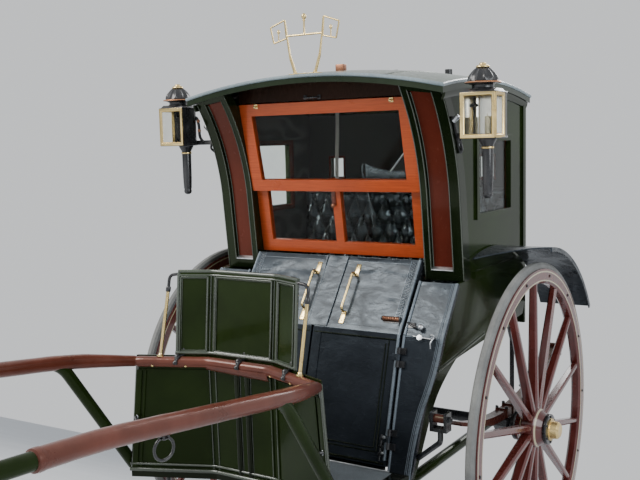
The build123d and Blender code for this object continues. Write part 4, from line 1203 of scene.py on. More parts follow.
def roll_seam(line, radius, turn, s):
    """A folded seam along the inner underside of a roll, with tacks."""
    seam = []
    for i in range(1, len(line) - 1):
        t = (line[i + 1] - line[i - 1]).normalized()
        side = t.cross(UP).normalized()
        down = side.cross(t).normalized()
        if down.z > 0:
            down = -down
        aim = (down * cos(turn) + side * s * sin(turn)).normalized()
        seam.append(line[i] + aim * (radius * thinned(line, i) - 0.0002))
        if i % 11 == 6:
            screw(tacks, seam[-1] + aim * 0.0012, aim, 0.0052, 0.0034)
    tube(stitch, seam, 0.0024, 8)


roll_seam(rail_line, RAIL_R, 0.9, 1)
for s in (1, -1):
    roll_seam(cover_lines[s], COVER_R, 0.85, -1)
dress("roll_seams", stitch, BROWN)
dress("roll_tacks", tacks, BRASS)

loose = Form()


def rail_skirt(u, v, out):
    """A folded edge of the rail's leather that hangs over the middle of the dash."""
    x = -DASH_MID + 0.004 + (2 * DASH_MID - 0.008) * u
    z = RAIL_Z - 0.006 - (0.024 + 0.012 * u) * v
    slack = 0.0012 * drift(x * 16, v * 2, 5.0)
    bulge = RAIL_R * cos(asin(min(1.0, 0.3 + 0.7 * v)))
    return V(x, RAIL_FACE - RAIL_OUT - bulge - 0.0012 - out + slack * v, z)


sheet(loose, rail_skirt, 0.0022, 0.0, 24, 6)
dress("rail_skirt", loose, BROWN, 0.0006)
bands = Form()
for x in (-DASH_MID, DASH_MID):
    section = ((-0.002, -0.004), (0.0006, -0.0025), (0.001, 0), (0.0006, 0.0025), (-0.002, 0.004))
    lathe(bands, [(RAIL_R + out, h) for out, h in section],
          (V(x, swept(x, RAIL_FACE, RAIL_OUT), RAIL_Z), (1, 0, 0)), 28)
for s in (1, -1):
    section = ((-0.004, -0.012), (0.0012, -0.011), (0.0018, 0.0), (0.0006, 0.01), (-0.004, 0.013))
    lathe(bands, [(COVER_R + out, h) for out, h in section],
          (flip([cover_tip], s)[0], V(0, -1, -RISE_FRONT).normalized()), 28)
dress("roll_bands", bands, BROWN)

clips = Form()
for x in (-0.25, 0.008, 0.25):
    y = swept(x, RAIL_FACE, RAIL_OUT)
    centre = V(x, y, RAIL_Z)
    arc = [centre + V(0, -cos(a), sin(a)) * (RAIL_R + 0.0025)
           for a in (radians(-14 + 126 * i / 16) for i in range(17))]
    arc += [V(x, swept(x, SCREEN_Y - 0.008, 0.004), SCREEN_Z[0] + rise) for rise in (0.006, 0.03)]
    for dx in (-0.0045, 0, 0.0045):
        tube(clips, [p + V(dx, 0, 0) for p in arc], 0.0034, 8)
    for a, wide in ((4, 8.5), (62, 11.5)):
        aim = V(0, -cos(radians(a)), sin(radians(a)))
        turned(clips, [(wide, 0), (wide, 4), (wide * 0.6, 7), (wide * 0.75, 10.5), (wide * 0.4, 13.5),
                       (0.5, 14.2)],
               (centre + aim * (RAIL_R + 0.002), aim), 14)
    turned(clips, [(9, 0), (9, 3), (6, 6), (4.5, 12), (6.5, 14), (0.5, 18)],
           (V(x, swept(x, SCREEN_Y - 0.008, 0.005), SCREEN_Z[0] + 0.022), (0, -1, 0)), 16)
dress("screen_turn_clips", clips, IRON)

# --- posts at the screen's ends
POST_X = 0.322
POST_TOP = 1.424
COLLAR_Z = 1.378
posts = Form()
tubes = Form()
collars = Form()
for s in (-1, 1):
    foot_y = swept(POST_X, RAIL_FACE, RAIL_OUT)
    head_y = swept(SCREEN_HALF, SCREEN_Y + 0.005)

    def post_at(z):
        part = (z - RAIL_Z) / (POST_TOP - RAIL_Z)
        return V(s * POST_X, foot_y + (head_y - foot_y) * part, z)
    bow_path = [post_at(COLLAR_Z), V(s * POST_X, head_y - 0.002, POST_TOP),
                V(s * (SCREEN_HALF - 0.004), head_y - 0.002, POST_TOP + 0.008)]
    tube(posts, rounded_path(bow_path, 0.06, 10), 0.0062, 12)
    tube(tubes, [post_at(RAIL_Z + 0.026), post_at(COLLAR_Z - 0.012)], 0.0068, 14)
    up = (post_at(COLLAR_Z) - post_at(RAIL_Z)).normalized()
    turned(collars, [(7.5, -14), (9.8, -10), (9.8, 2), (7.5, 8)], (post_at(COLLAR_Z - 0.004), up), 18)
    turned(tubes, [(15, 19), (15, 21.5), (9.5, 26), (7.5, 33)], (post_at(RAIL_Z), up), 20)
    for dx in (-0.0105, 0.0105):
        screw(tubes, post_at(RAIL_Z) + V(dx, 0, 0.0214), UP, 0.0022)
piece = dress("post_bows", posts, IRON)
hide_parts("dash_posts")
dress("post_tubes", tubes, BRASS)
dress("post_collars", collars, IRON)

# --- rings under the shaft covers
ring = Form()
RING_Y = -1.94
centre = V(0.482, RING_Y, 1.152)
loop = [centre + V(0.006 * sin(a), 0.03 * sin(a), 0.03 * cos(a)) for a in around(28)]
tube(ring, loop, 0.0042, 10, closed=True)
eye_top = V(SHAFT_X, RING_Y, BEND.z + RISE_BACK * (RING_Y - BEND.y) - COVER_R)
tube(ring, [eye_top + V(0, y, z) for y, z in ((-0.012, 0.004), (-0.008, -0.01), (0.008, -0.01),
                                              (0.012, 0.004))],
     0.0035, 8)
dress("shaft_rings", ring.with_mirror(), IRON)

# --- lamps
LAMP_X = 0.742
LAMP_HALF = 0.068
LAMP_Y = (-0.478, -0.345)
LAMP_Z = (1.923, 2.094)
SIDE_PANE = 0.094
CHIMNEY_Y = -0.424
CANDLE_Y = -0.38
TIN = 0.003
RIM = 0.015
FLUTES = 12


def rim_frame(form, at, a0, a1, b0, b1, width, deep):
    """A mitred frame round a flat opening, its inner edge bevelled."""
    section = ((0, 0.0), (0, deep), (width * 0.7, deep), (width, deep * 0.25), (width, 0.0))
    verts = [p for inset, out in section for p in panel_edge(at, a0, a1, b0, b1, inset, out)]
    faces = [face for i in range(5) for face in band_faces(4 * i, 4 * ((i + 1) % 5), 4)]
    return form.add(verts, faces)


x0 = LAMP_X - LAMP_HALF
x1 = LAMP_X + LAMP_HALF
y0, y1 = LAMP_Y
z0, z1 = LAMP_Z
tin = Form()
ROUND = 0.06


def case_plan(inset):
    """The case seen from above: square in front, round behind its inner corner."""
    bend = [(x0 + ROUND - (ROUND - inset) * cos(a), y1 - ROUND + (ROUND - inset) * sin(a))
            for a in (pi / 2 * k / 10 for k in range(11))]
    return [(x0 + inset, y0 + 0.002), *bend, (x1 - 0.012, y1 - inset), (x1 - inset, y1 - 0.012),
            (x1 - inset, y0 + SIDE_PANE)]


wall_out, wall_in = case_plan(0.0), case_plan(TIN)
for (a, b), (c, d) in zip(zip(wall_out, wall_out[1:]), zip(wall_in, wall_in[1:])):
    prism(tin, [(*a, z0 + TIN), (*b, z0 + TIN), (*d, z0 + TIN), (*c, z0 + TIN)], (0, 0, z1 - z0 - 2 * TIN))
whole = [*wall_out, (x1, y0 + 0.002)]
prism(tin, [(x, y, z0) for x, y in whole], (0, 0, TIN))
prism(tin, [(x, y, z1 - TIN) for x, y in whole], (0, 0, TIN))
for z in (z0 + 0.003, z1 - 0.002):
    tube(tin, [(x, y, z) for x, y in whole], 0.0038, 8, closed=True)
count = len(whole)
tin.add([(LAMP_X + (x - LAMP_X) * part, CHIMNEY_Y + (y - CHIMNEY_Y) * part, z)
         for part, z in ((0.97, z1), (0.8, z1 + 0.013)) for x, y in whole],
        band_faces(0, count, count) + [tuple(range(count, 2 * count)), tuple(reversed(range(count)))])
top = (V(LAMP_X, CHIMNEY_Y, z1), UP)
turned(tin, [(47, 11), (45, 14), (41, 16), (41, 26), (52, 30), (64, 33.5), (64, 36), (40, 38)], top, 48)


def flute(k, h):
    """Scallops round the dome of a chimney."""
    return -0.0052 * abs(sin(pi * k * FLUTES / 96)) * min(1.0, max(0.0, (h - 0.04) / 0.006))


turned(tin, [(52, 37), (57.5, 41), (58.5, 47), (56, 56), (50.5, 65), (43, 74), (34, 83), (24.5, 90.5)], top,
       96, wave=flute)
low_place = (V(LAMP_X, CANDLE_Y, z0), UP)
turned(tin, [(33, 1), (34, -3), (31, -10), (24, -22), (20.5, -34)], low_place, 40)
turned(tin, [(20.5, -34), (21.5, -40), (20.5, -150), (18.5, -196), (16.5, -203), (18, -208), (18, -214),
             (15, -221), (8, -225.5), (0.5, -226.5)], low_place, 40)
case = dress("lamp_cases", tin.with_mirror(), IRON, 0.0005)
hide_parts("lamps")

rims = Form()
pane_z = (z0 + 0.002, z1 - 0.001)
rim_frame(rims, lambda a, b, out: V(a, y0 + 0.002 - out, b), x0, x1, *pane_z, RIM, 0.006)
rim_frame(rims, lambda a, b, out: V(x1 - TIN + out, a, b), y0, y0 + SIDE_PANE, *pane_z, RIM, 0.006)
turned(rims, [(23.5, 90), (26, 92), (25.5, 94.5), (22.5, 98.5), (14, 101), (12.5, 104), (13.5, 106),
              (9, 108.5), (0.5, 109)], top, 40)
turned(rims, [(21, -30.5), (24, -31), (24.5, -34), (24, -37.5), (21, -38)], low_place, 40)
dress("lamp_brasswork", rims.with_mirror(), BRASS, 0.0005)
flange = Form()
turned(flange, [(60, 33), (66.5, 33), (68.5, 35.5), (66.5, 38.2), (60, 38.5)], top, 56)
dress("lamp_flanges", flange.with_mirror(), COPPER)

shine = Form()


def reflector(u, v, lift):
    """A dished sheet behind the flame, close to the case's inner corner."""
    a = radians(90 * u)
    wide = 2 * LAMP_HALF - 0.014 - lift
    deep = y1 - y0 - 0.018 - lift
    x = x1 - 0.008 - wide * cos(a) ** 0.4
    y = y0 + 0.012 + deep * sin(a) ** 0.4
    return V(x, y, z0 + 0.006 + (z1 - z0 - 0.012) * v)


sheet(shine, reflector, 0.0012, 0.0, 40, 6)
dress("lamp_reflectors", shine.with_mirror(), SILVER)
wax = Form()
turned(wax, [(10.5, 3), (10.5, 80), (9.6, 83.5), (7, 82), (1.6, 82.2), (1.2, 92), (0.4, 93.5)], low_place, 28)
dress("lamp_candles", wax.with_mirror(), WAX)

SIDE_X = 0.603


def pillar_side(z, back):
    """A point on a pillar's outer side, set back from its front edge."""
    return V(SIDE_X, pillar_y(z) + back, z)


arms = Form()
strap_low = pillar_side(1.868, 0.03)
strap = [pillar_side(z, 0.026) for z in (2.01, 1.985, 1.955, 1.925, 1.895)] + [strap_low]
for dy in (-0.0026, 0.0026):
    tube(arms, [p + V(0, dy, 0) for p in strap], 0.0034, 10)
ARM_Z = 1.935
arm_in = pillar_side(ARM_Z, 0.024)
arm_out = V(x0 + 0.02, -0.366, ARM_Z)
for dz in (-0.0055, 0.0, 0.0055):
    tube(arms, [arm_in + V(0, 0, dz), arm_out + V(0, 0, dz)], 0.0052, 10)
tube(arms, rounded_path([arm_in + V(0.012, 0, -0.004), V(0.62, -0.352, 1.908), strap_low + V(0.008, 0, 0.014),
                         strap_low], 0.02), 0.0056, 10)
tube(arms, rounded_path([V(x0 + 0.026, -0.38, 2.048), V(x0 + 0.006, -0.37, 2.052),
                         V(x0 + 0.001, -0.362, 2.01), V(x0 + 0.001, -0.362, 1.962),
                         arm_out + V(-0.046, 0, 0)], 0.02), 0.0066, 12)
dress("lamp_arms", arms.with_mirror(), IRON)
nuts = Form()
for origin in (V(x0 - 0.002, -0.37, 2.034), V(x0 - 0.004, -0.368, 1.99)):
    turned(nuts, [(8, 0), (8, 3.5), (6, 5), (4, 5.6), (4, 8.5), (0.4, 9)], (origin, (-0.6, -0.8, 0)), 14)
dress("lamp_screws", nuts.with_mirror(), RUSTED)
nuts = Form()
place = (pillar_side(2.0, 0.022) + V(0.004, 0, -0.004), (0.75, 0.1, 0.6))
turned(nuts, [(10, -6), (10, 20), (8.5, 24), (0.4, 24.5)], place, 20)
turned(nuts, [(6, 0), (6, 3), (0.4, 4.5)], (pillar_side(1.902, 0.03), (1, 0, 0)), 14)
dress("lamp_nuts", nuts.with_mirror(), PEWTER)

# --- rein guide
GUIDE_Y = -0.49
GUIDE_BAR = 2.36
STEM = ((0.048, 2.204), (0.072, 2.275), (0.083, 2.345), (0.094, 2.425))
LOOP = ((0.095, 2.425), (0.166, 2.4), (0.151, 2.335), (0.088, 2.35))
guide = Form()
sheet(guide, lambda u, v, out: V(0.15 * u - 0.075, GUIDE_Y - 0.011 + 0.022 * v,
                                 roof_z(0.15 * u - 0.075, GUIDE_Y) + out), 0.0048, 0.0003, 12, 2)
for s in (-1, 1):
    stem = rounded_path([V(s * x, GUIDE_Y, z) for x, z in STEM], 0.012)
    taper = [0.0065 - 0.0026 * min(1.0, i / (0.6 * len(stem))) for i in range(len(stem))]
    tube(guide, stem, 0.0045, 14, radii=taper)
    loop = rounded_path([V(s * x, GUIDE_Y, z) for x, z in LOOP], 0.004, 4, closed=True)
    tube(guide, loop, 0.0034, 12, closed=True)
    pin = V(s * 0.1265, GUIDE_Y, 2.3405)
    tube(guide, [pin, pin + V(0, 0, 0.034)], 0.0026, 10)
    turned(guide, [(2.6, 30), (6, 34.5), (6.8, 39), (5.5, 44), (3, 46.5), (3, 48.5), (0.5, 50)],
           (pin, UP), 20)
    turned(guide, [(9.5, 4.8), (9.5, 7.5), (6.5, 10), (5.5, 16)],
           (V(s * 0.048, GUIDE_Y, roof_z(0.048, GUIDE_Y)), UP), 18)
    for dy in (-0.0065, 0.0065):
        screw(guide, V(s * 0.066, GUIDE_Y + dy, roof_z(0.066, GUIDE_Y) + 0.0048), UP, 0.0026)
tube(guide, [V(-0.086, GUIDE_Y, GUIDE_BAR), V(0.086, GUIDE_Y, GUIDE_BAR)], 0.0042, 14)
turned(guide, [(4.2, -4), (6.2, -1), (4.8, 4), (4, 10), (3.6, 52), (6.5, 56), (4, 60), (9.2, 66), (10.5, 73),
               (8.5, 80), (3.6, 84), (0.5, 85)], (V(0, GUIDE_Y, GUIDE_BAR), UP), 24)
piece = dress("rein_guide_bright", guide, BRASS)
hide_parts("rein_guide")

# --- cushions
def blown(mesh, voxel, force, limit):
    """The mesh of a stuffed cover after a cloth pressure run, its base held down."""
    scene = bpy.context.scene
    cover = bpy.data.objects.new("cover", mesh)
    scene.collection.objects.link(cover)
    finer = cover.modifiers.new("finer", "REMESH")
    finer.mode = "VOXEL"
    finer.voxel_size = voxel
    even = bpy.data.meshes.new_from_object(cover.evaluated_get(bpy.context.evaluated_depsgraph_get()))
    cover.modifiers.clear()
    cover.data = even
    low_z = min(v.co.z for v in even.vertices)
    held = cover.vertex_groups.new(name="held")
    held.add([v.index for v in even.vertices if v.co.z < low_z + voxel], 1.0, "REPLACE")
    rest = [v.co.copy() for v in even.vertices]
    cloth = cover.modifiers.new("cloth", "CLOTH")
    cloth.settings.quality = 5
    cloth.settings.mass = 0.25
    cloth.settings.tension_stiffness = 25.0
    cloth.settings.compression_stiffness = 12.0
    cloth.settings.bending_stiffness = 0.6
    cloth.settings.use_pressure = True
    cloth.settings.uniform_pressure_force = force
    cloth.settings.effector_weights.gravity = 0.0
    cloth.settings.vertex_group_mass = "held"
    cloth.point_cache.frame_end = 20
    for step in range(1, 21):
        scene.frame_set(step)
    shaped = cover.evaluated_get(bpy.context.evaluated_depsgraph_get()).to_mesh()
    moved = [v.co.copy() for v in shaped.vertices]
    cover.modifiers.clear()
    for vertex, home, place in zip(even.vertices, rest, moved):
        step = place - home
        if step.length > limit:
            step = step.normalized() * limit
        vertex.co = home + step
    scene.frame_set(1)
    bpy.data.objects.remove(cover)
    return even


def cushion(name, node, low, high, crown, voxel, soft):
    """A boxed leather cushion with a crowned top, piped round both of its edges."""
    form = Form()
    (ax, ay, az), (bx, by, bz) = low, high

    def skin(u, v, level):
        fall = 0.018 * (1 - edge_fade(u, 0.1) ** 0.5) + 0.018 * (1 - edge_fade(v, 0.14) ** 0.5)
        full = crown * (1 - (2 * u - 1) ** 4) * (1 - (2 * v - 1) ** 4)
        high_z = bz - crown + full - fall
        return V(ax + (bx - ax) * u, ay + (by - ay) * v, high_z if level else az)
    sheet(form, skin, 1, 0, 48, 32)
    mesh = bpy.data.meshes.new(name)
    mesh.from_pydata([tuple(v) for v in form.verts], [], form.faces)
    mesh = blown(mesh, voxel, soft, 0.008)
    shape = bpy.data.objects.new("probe", mesh)
    bpy.context.scene.collection.objects.link(shape)
    bpy.context.view_layer.update()
    outline = rounded_path([(ax, ay, 0), (bx, ay, 0), (bx, by, 0), (ax, by, 0)], 0.03, 8, closed=True)
    runs = []
    for level in (az + 0.012, bz - crown - 0.02):
        run = []
        for i, p in enumerate(outline):
            ahead = outline[(i + 1) % len(outline)]
            parts = max(1, int((ahead - p).length / 0.02))
            for k in range(parts):
                q = p.lerp(ahead, k / parts)
                found = shape.closest_point_on_mesh(V(q.x, q.y, level))
                run.append(found[1] + found[2] * 0.0012)
        runs.append(run)
    bpy.data.objects.remove(shape)
    body = Form()
    body.verts = [v.co.copy() for v in mesh.vertices]
    body.faces = [list(p.vertices) for p in mesh.polygons]
    whole = dress(name, body, SEAT_LEATHER, sharp=180, subdivide=1)
    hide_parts(node)
    cords = Form()
    for run in runs:
        tube(cords, run, 0.0036, 8, closed=True)
    dress(name + "_piping", cords, PIPING_HIGHLIGHT)


cushion("seat_cushion_soft", "seat_cushion", (-0.554, -0.322, 1.1305), (0.554, 0.264, 1.247),
        crown=0.026, voxel=0.008, soft=3.0)
cushion("driver_cushion_soft", "driver_cushion", (-0.228, 0.608, 2.0705), (0.228, 0.952, 2.14),
        crown=0.018, voxel=0.006, soft=4.0)

# --- buttoned seat back
TUFT_W = 0.085
TUFT_H = 0.17
TUFT_RISE = 0.03
BUTTON_LOW = 1.3
BUTTON_ROWS = 5
BACK_HALF = 0.554
BACK_Z = (1.132, 1.69)


def back_plane(z):
    return 0.27 + 0.052 * (z - 1.13) / 0.56 + 0.021


def tuft(x, z):
    """Depth of the stuffing between the buttons, with straight pleats below and above them."""
    row = min(max((z - BUTTON_LOW) / TUFT_H, 0.0), (BUTTON_ROWS - 1) / 2)
    across_x = x / TUFT_W
    swell = abs(sin(pi * (across_x + row)) * sin(pi * (across_x - row)))
    return TUFT_RISE * swell**0.5


def tufted(u, v, stuffed):
    """The front of the seat back, or the flat back of it."""
    x = BACK_HALF * (2 * u - 1)
    z = BACK_Z[0] + (BACK_Z[1] - BACK_Z[0]) * v
    if not stuffed:
        return V(x, 0.4195, z)
    side = min(1.0, edge_fade(u, 0.03)) ** 0.5
    head = min(1.0, max(0.0, (1 - v) / 0.06)) ** 0.5
    sway = 0.0012 * drift(x * 22, z * 14, 2.0)
    return V(x, back_plane(z) + 0.02 * (1 - side) + 0.03 * (1 - head) - tuft(x, z) * side * head + sway, z)


quilt = Form()
sheet(quilt, tufted, True, False, 170, 76)
rest_back = dress("seat_back_tufted", quilt, SEAT_LEATHER, slot="black_cloth", sharp=70)
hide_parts("seat_back")
buttons = Form()
for row in range(BUTTON_ROWS):
    z = BUTTON_LOW + row * TUFT_H / 2
    for k in range(-12, 13):
        if (k + row) % 2 == 0:
            place = (V(k * TUFT_W / 2, back_plane(z) + 0.001, z), (0, -1, 0.09))
            turned(buttons, [(7.5, 0), (8, 2.5), (6, 4.8), (3, 5.8), (0.3, 6)], place, 12)
dress("seat_back_buttons", buttons, LINING)
roll = Form()
ROLL_R = 0.0225
ends = [V(s * (BACK_HALF - 0.004), 0.352, 1.672) for s in (-1, 1)]
line, radii = leather_roll(ends, ROLL_R, 7.0)
tube(roll, line, ROLL_R, 24, radii=radii)
head_roll = dress("seat_back_roll", roll, SEAT_LEATHER, slot="black_cloth")

# --- cloth lining of the cabin
INNER_X = 0.58


def lining(form, at, a0, a1, b0, b1):
    """A thin cloth sheet on a mapped face, faintly slack between its nails."""
    def face(u, v, out):
        a = a0 + (a1 - a0) * u
        b = b0 + (b1 - b0) * v
        slack = 0.0016 * edge_fade(u, 0.2) * edge_fade(v, 0.2) * drift(a * 7, b * 7, 3.3)
        return at(a, b, out + (slack if out > 0.001 else 0.0))
    sheet(form, face, 0.003, 0.0004, 14, 10)


def on_side(a, b, out):
    return V(INNER_X - out, a, b)


def on_rear(a, b, out):
    return V(a, 0.43 - out, b)


def on_head(a, b, out):
    return V(a, b, under_roof(a, b) - out)


walls = Form()
for a0, a1, b0, b1 in ((-0.2, 0.428, 1.372, 1.59), (-0.215, -0.154, 1.59, 1.936), (0.256, 0.428, 1.59, 1.936),
                       (-0.23, 0.428, 1.936, 2.066)):
    lining(walls, on_side, a0, a1, b0, b1)
walls.with_mirror()
for a0, a1, b0, b1 in ((-0.576, 0.576, 1.64, 1.742), (-0.576, 0.576, 1.839, 2.06),
                       (-0.374, 0.374, 1.742, 1.839), (0.447, 0.576, 1.742, 1.839),
                       (-0.576, -0.447, 1.742, 1.839)):
    lining(walls, on_rear, a0, a1, b0, b1)
dress("cabin_lining", walls, LINING)
ceiling = Form()
for a0, a1, b0, b1 in ((-0.57, -0.141, -0.3, 0.424), (0.141, 0.57, -0.3, 0.424), (-0.141, 0.141, -0.3, 0.109),
                       (-0.141, 0.141, 0.321, 0.424)):
    lining(ceiling, on_head, a0, a1, b0, b1)
dress("head_lining", ceiling, HEADLINING)
rims = Form()
rim_frame(rims, lambda a, b, out: on_side(a, b, out + 0.0005), -0.156, 0.258, 1.588, 1.938, 0.024, 0.01)
rims.with_mirror()
for s in (-1, 1):
    a0, a1 = sorted((s * 0.361, s * 0.46))
    rim_frame(rims, lambda a, b, out: on_rear(a, b, out + 0.0005), a0, a1, 1.729, 1.852, 0.013, 0.008)
dress("inner_window_rims", rims, MAROON, 0.0008)

sling = Form()


def band(form, points, half, thick, across_dir):
    """A flat strap along a line of points."""
    points = rounded_path(points, 0.02, 6)
    wide = Vector(across_dir).normalized() * half
    verts = []
    for i, p in enumerate(points):
        t = (points[min(i + 1, len(points) - 1)] - points[max(i - 1, 0)]).normalized()
        lift = t.cross(wide).normalized() * thick
        verts += [p - wide - lift, p + wide - lift, p + wide + lift, p - wide + lift]
    faces = []
    for i in range(len(points) - 1):
        faces += band_faces(4 * i, 4 * i + 4, 4)
    faces += [(0, 1, 2, 3), tuple(4 * (len(points) - 1) + k for k in (3, 2, 1, 0))]
    return form.add(verts, faces)


sheet(sling, lambda u, v, y: V(0.083 + 0.193 * u, y, 1.718 + (0.075 + 0.036 * (1 - u) ** 3) * v),
      -0.153, -0.149, 20, 8)
band(sling, [V(0.07, -0.15, 1.828), V(0.064, -0.15, 1.788), V(0.089, -0.15, 1.722),
             V(0.104, -0.151, 1.64), V(0.116, -0.15, 1.56)], 0.0015, 0.004, (0, 1, 0))
dress("inner_sling", sling, SEAT_LEATHER, 0.0008)
rod = Form()
tube(rod, [V(0.207, -0.152, 1.79), V(0.277, -0.152, 1.873), V(0.33, -0.16, 1.93)], 0.0042, 12)
dress("inner_sling_rod", rod, PEWTER)

# --- matting on the floor
mat = Form()
MAT_SIDE = 0.455
plan = dash_plan(MAT_SIDE, DASH_Y + DASH_BACK + 0.0125)
outline = [(-MAT_SIDE, -0.655), *plan, (MAT_SIDE, -0.655)]
prism(mat, [(x, y, FLOOR_Z + 0.0004) for x, y in outline], (0, 0, 0.0032))
dress("floor_matting", mat, MATTING, 0.0012)
nosing = Form()
tube(nosing, [V(-0.44, -0.6455, FLOOR_Z + 0.0015), V(0.44, -0.6455, FLOOR_Z + 0.0015)], 0.004, 10)
dress("mat_edge", nosing, PEWTER, slot="grey_mat")

# --- side strips of the front
def side_x(z):
    """Half width of the body under its belt, where the sides turn in."""
    if z >= 1.16:
        return BELT_HALF
    if z >= 0.898:
        t = (1.16 - z) / 0.262
        return BELT_HALF - 0.047 * (0.3 * t + 0.7 * t * t)
    t = (0.898 - z) / 0.273
    return 0.551 - 0.027 * (1.9 * t - 0.9 * t * t)


def sill_line(t):
    """The slanting moulding on a quarter panel, from the front edge up to the spring."""
    z = 1.0335 + 0.062 * t
    return V(side_x(z) + 0.0005, -0.5 + 0.445 * t, z)


sill = Form()
tube(sill, [sill_line(t) for t in ramp(0, 1, 16)], 0.0052, 10)
tube(sill, [sill_line(t) + V(0.0005, 0, 0.01) for t in ramp(0, 1, 16)], 0.0026, 8)
dress("quarter_mouldings", sill.with_mirror(), BEAD_HIGHLIGHT)

STRIP_TOP = V(0, -0.332, BELT_Z)
STRIP_FOOT = KNEE + (DOOR_FOOT - KNEE) * ((KNEE.z - 0.63) / (KNEE.z - DOOR_FOOT.z))
on_strip, STRIP_RUN = sloping(STRIP_TOP, KNEE)
on_shin, SHIN_RUN = sloping(KNEE, STRIP_FOOT)


def strip_line(inset, out):
    """A line down the outer edge of a strip, inset from the side."""
    path = [on_strip(side_x(BELT_Z) - inset, run, out) for run in ramp(0, STRIP_RUN, 10, 0, 0)]
    return path + [on_shin(side_x(on_shin(0, run).z) - inset, run, out) for run in ramp(0, SHIN_RUN, 24)]


# Pale tubes down the strips' outer edges: a painted highlight where the leather turns over the side.
edging = Form()
for inset, out, radius, sides in ((0.0034, 0.0014, 0.0046, 10), (0.01, 0.0002, 0.0038, 10),
                                  (0.0185, 0.0002, 0.002, 8), (0.025, 0.0002, 0.0016, 8)):
    tube(edging, strip_line(inset, out), radius, sides)
dress("strip_edging", edging.with_mirror(), PIPING_HIGHLIGHT)
rib = Form()
for a, b in ((0.0, 0.075), (0.105, 0.395), (0.425, SHIN_RUN)):
    tube(rib, [on_shin(0.43, run, 0.002) for run in ramp(a, b, 12)], 0.0054, 10)
tube(rib, [on_strip(0.431, run, 0.002) for run in ramp(0, STRIP_RUN, 12)], 0.0056, 10)
dress("strip_ribs", rib.with_mirror(), PIPING_HIGHLIGHT)
knee_seam = Form()
tube(knee_seam, [on_shin(x, 0.004, 0.0006) for x in ramp(0.434, 0.592, 12)], 0.0016, 8)
for i in range(24):
    for run in (0.012, 0.018):
        centre = on_shin(0.436 + 0.0062 * i, run, 0.0002)
        screw(knee_seam, centre, LEAF_OUT, 0.0011, 0.0009)
dress("strip_stitching", knee_seam.with_mirror(), PIPING_HIGHLIGHT)

# --- latch, bolt and eye plate
run = (1.429 - 1.204) / (1.429 - 1.156) * FLAP_RUN
coil = Form()
TURNS = 9
coil_line = []
for i, x in enumerate(ramp(0.322, 0.396, TURNS * 12)):
    a = 2 * pi * i / 12
    coil_line.append(on_flap(x, run, 0.0125) + V(0, cos(a), sin(a)) * 0.0078)
tube(coil, coil_line, 0.0027, 8)
dress("latch_spring", coil, RUSTED, body="left_door", slot="black_iron")
keeper = Form()
slab(keeper, on_flap, 0.322, 0.404, run - 0.012, run + 0.014, 0.0022, 0.0052)
tube(keeper, [on_flap(0.314, run, 0.0125), on_flap(0.4045, run, 0.0125)], 0.0042, 12)
for x in (0.3185, 0.3985):
    turned(keeper, [(8.5, -3.5), (9.5, -1.5), (9.5, 1.5), (8.5, 3.5)],
           (on_flap(x, run, 0.0125), (1, 0, 0)), 16)
for x in (0.329, 0.396):
    screw(keeper, on_flap(x, run + 0.01, 0.0052), FLAP_OUT)
dress("latch_plate", keeper, IRON, 0.0006, body="left_door")
arm = Form()
LATCH_RUN = 0.205
hook = [on_strip(x, LATCH_RUN + rise, out) for x, rise, out in (
    (0.433, -0.014, 0.01), (0.452, -0.004, 0.013), (0.47, 0.004, 0.013), (0.493, 0.002, 0.012))]
tube(arm, rounded_path(hook, 0.01), 0.0048, 12, squash=0.7)
slab(arm, on_strip, 0.436, 0.466, LATCH_RUN - 0.018, LATCH_RUN + 0.006, 0.0006, 0.0038)
dress("latch_arm", arm, IRON, 0.0006)
knob = Form()
turned(knob, [(6, -4), (11, 1), (12.8, 6), (11.2, 12), (6.5, 16), (0.4, 17.2)],
       (on_strip(0.497, LATCH_RUN + 0.004, 0.008), FLAP_OUT), 22)
eye = V(0.5, -0.4865, 1.155)
tube(knob, [eye + V(-0.03, 0.0015, 0.003), eye, eye + V(0.052, -0.001, -0.002)], 0.003, 10)
turned(knob, [(12, 0), (12.6, 1.5), (11, 3.2), (4, 4), (0.4, 4.2)],
       (eye + V(0, -0.002, 0), (0, -0.85, 0.53)), 20)
loop = [V(0.556 + 0.0095 * cos(a), -0.488 - 0.006 * sin(a), 1.164 + 0.007 * sin(a)) for a in around(20)]
tube(knob, loop, 0.0026, 10, closed=True)
staple = [V(0.562, -0.484, 1.16), V(0.556, -0.493, 1.152), V(0.552, -0.502, 1.14), V(0.552, -0.501, 1.118)]
tube(knob, rounded_path(staple, 0.008), 0.003, 10)
dress("latch_eye", knob, PEWTER)

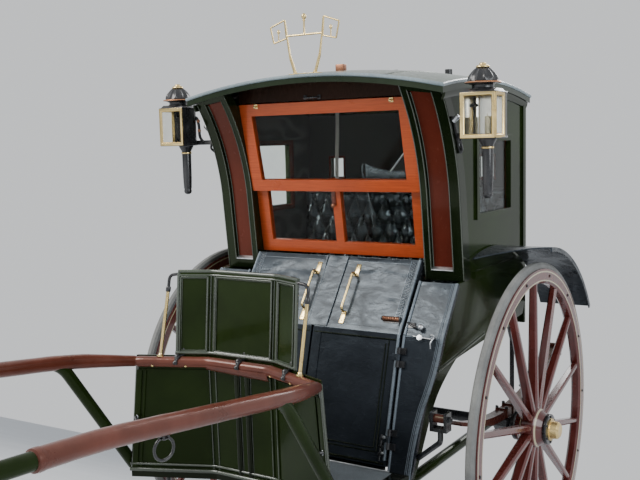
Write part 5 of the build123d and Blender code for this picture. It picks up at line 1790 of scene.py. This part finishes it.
bolt = Form()
run0, run1 = ((KNEE.z - z) / 0.9586 for z in (0.772, 0.695))
slab(bolt, on_leaf, 0.378, 0.396, run0, run1, 0.0003, 0.003)
tube(bolt, [on_leaf(0.387, run0 - 0.006, 0.0085), on_leaf(0.387, run1 + 0.016, 0.0085)], 0.0042, 12)
for part in (0.14, 0.5, 0.88):
    run = run0 + (run1 - run0) * part
    slab(bolt, on_leaf, 0.38, 0.394, run - 0.006, run + 0.006, 0.0028, 0.014)
dress("leaf_bolt", bolt, IRON, 0.0008, body="left_door")
bright = Form()
for x, part in ((0.3995, 0.05), (0.3995, 0.8)):
    place = (on_leaf(x, run0 + (run1 - run0) * part, 0.0006), LEAF_OUT)
    turned(bright, [(4, 0), (3, 4), (6.2, 8), (6.8, 12), (5, 15.5), (0.4, 16.8)], place, 18)
dress("leaf_bolt_knobs", bright, PEWTER, body="left_door")

# --- irons of the springs and wheels
bolts = Form()
SPRING_X = 0.665
for s in (-1, 1):
    for side in (-1, 1):
        for y in (-0.66, 0.66):
            turned(bolts, [(12, 0), (12, 7), (10, 9), (6.5, 9), (6.5, 13), (0.5, 14)],
                   (V(s * (SPRING_X + side * 0.0345), y, 0.901), (s * side, 0, 0)), 6)
        for y in (-0.038, 0.038):
            turned(bolts, [(7.5, 0), (7.5, 6), (5.5, 8), (0.4, 9)],
                   (V(s * (SPRING_X + side * 0.0215), y, 0.7755), UP), 6)
dress("spring_bolts", bolts, IRON)
for side, s in (("left", 1), ("right", -1)):
    studs = Form()
    for x, r, steps, part, sides, profile in (
        (0.814, 0.645, 14, 0.5, 10, [(6.5, 0), (6, 2), (3.5, 3.4), (0.4, 3.8)]),
        (0.865, 0.054, 6, 0, 6, [(5.5, 0), (5.5, 3.5), (4, 5), (0.4, 5.5)]),
    ):
        for a in around(steps, part):
            centre = V(s * x, r * sin(a), WHEEL_R + r * cos(a))
            turned(studs, profile, (centre, (s, 0, 0)), sides)
    dress(side + "_wheel_studs", studs, IRON, body=side + "_wheel")
    bands = Form()
    for x, wide in ((0.715, 15), (0.85, 15.5)):
        hoop = [(56.5, -0.6), (62.5, 0), (63.9, 2), (63.9, wide - 2), (62.5, wide), (56.5, wide + 0.6)]
        turned(bands, hoop, (V(s * x, 0, WHEEL_R), (s, 0, 0)), 48)
    dress(side + "_hub_bands", bands, IRON, body=side + "_wheel")

low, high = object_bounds()
{"cad": [list(cad_low), list(cad_high)], "visual": [list(low), list(high)]}
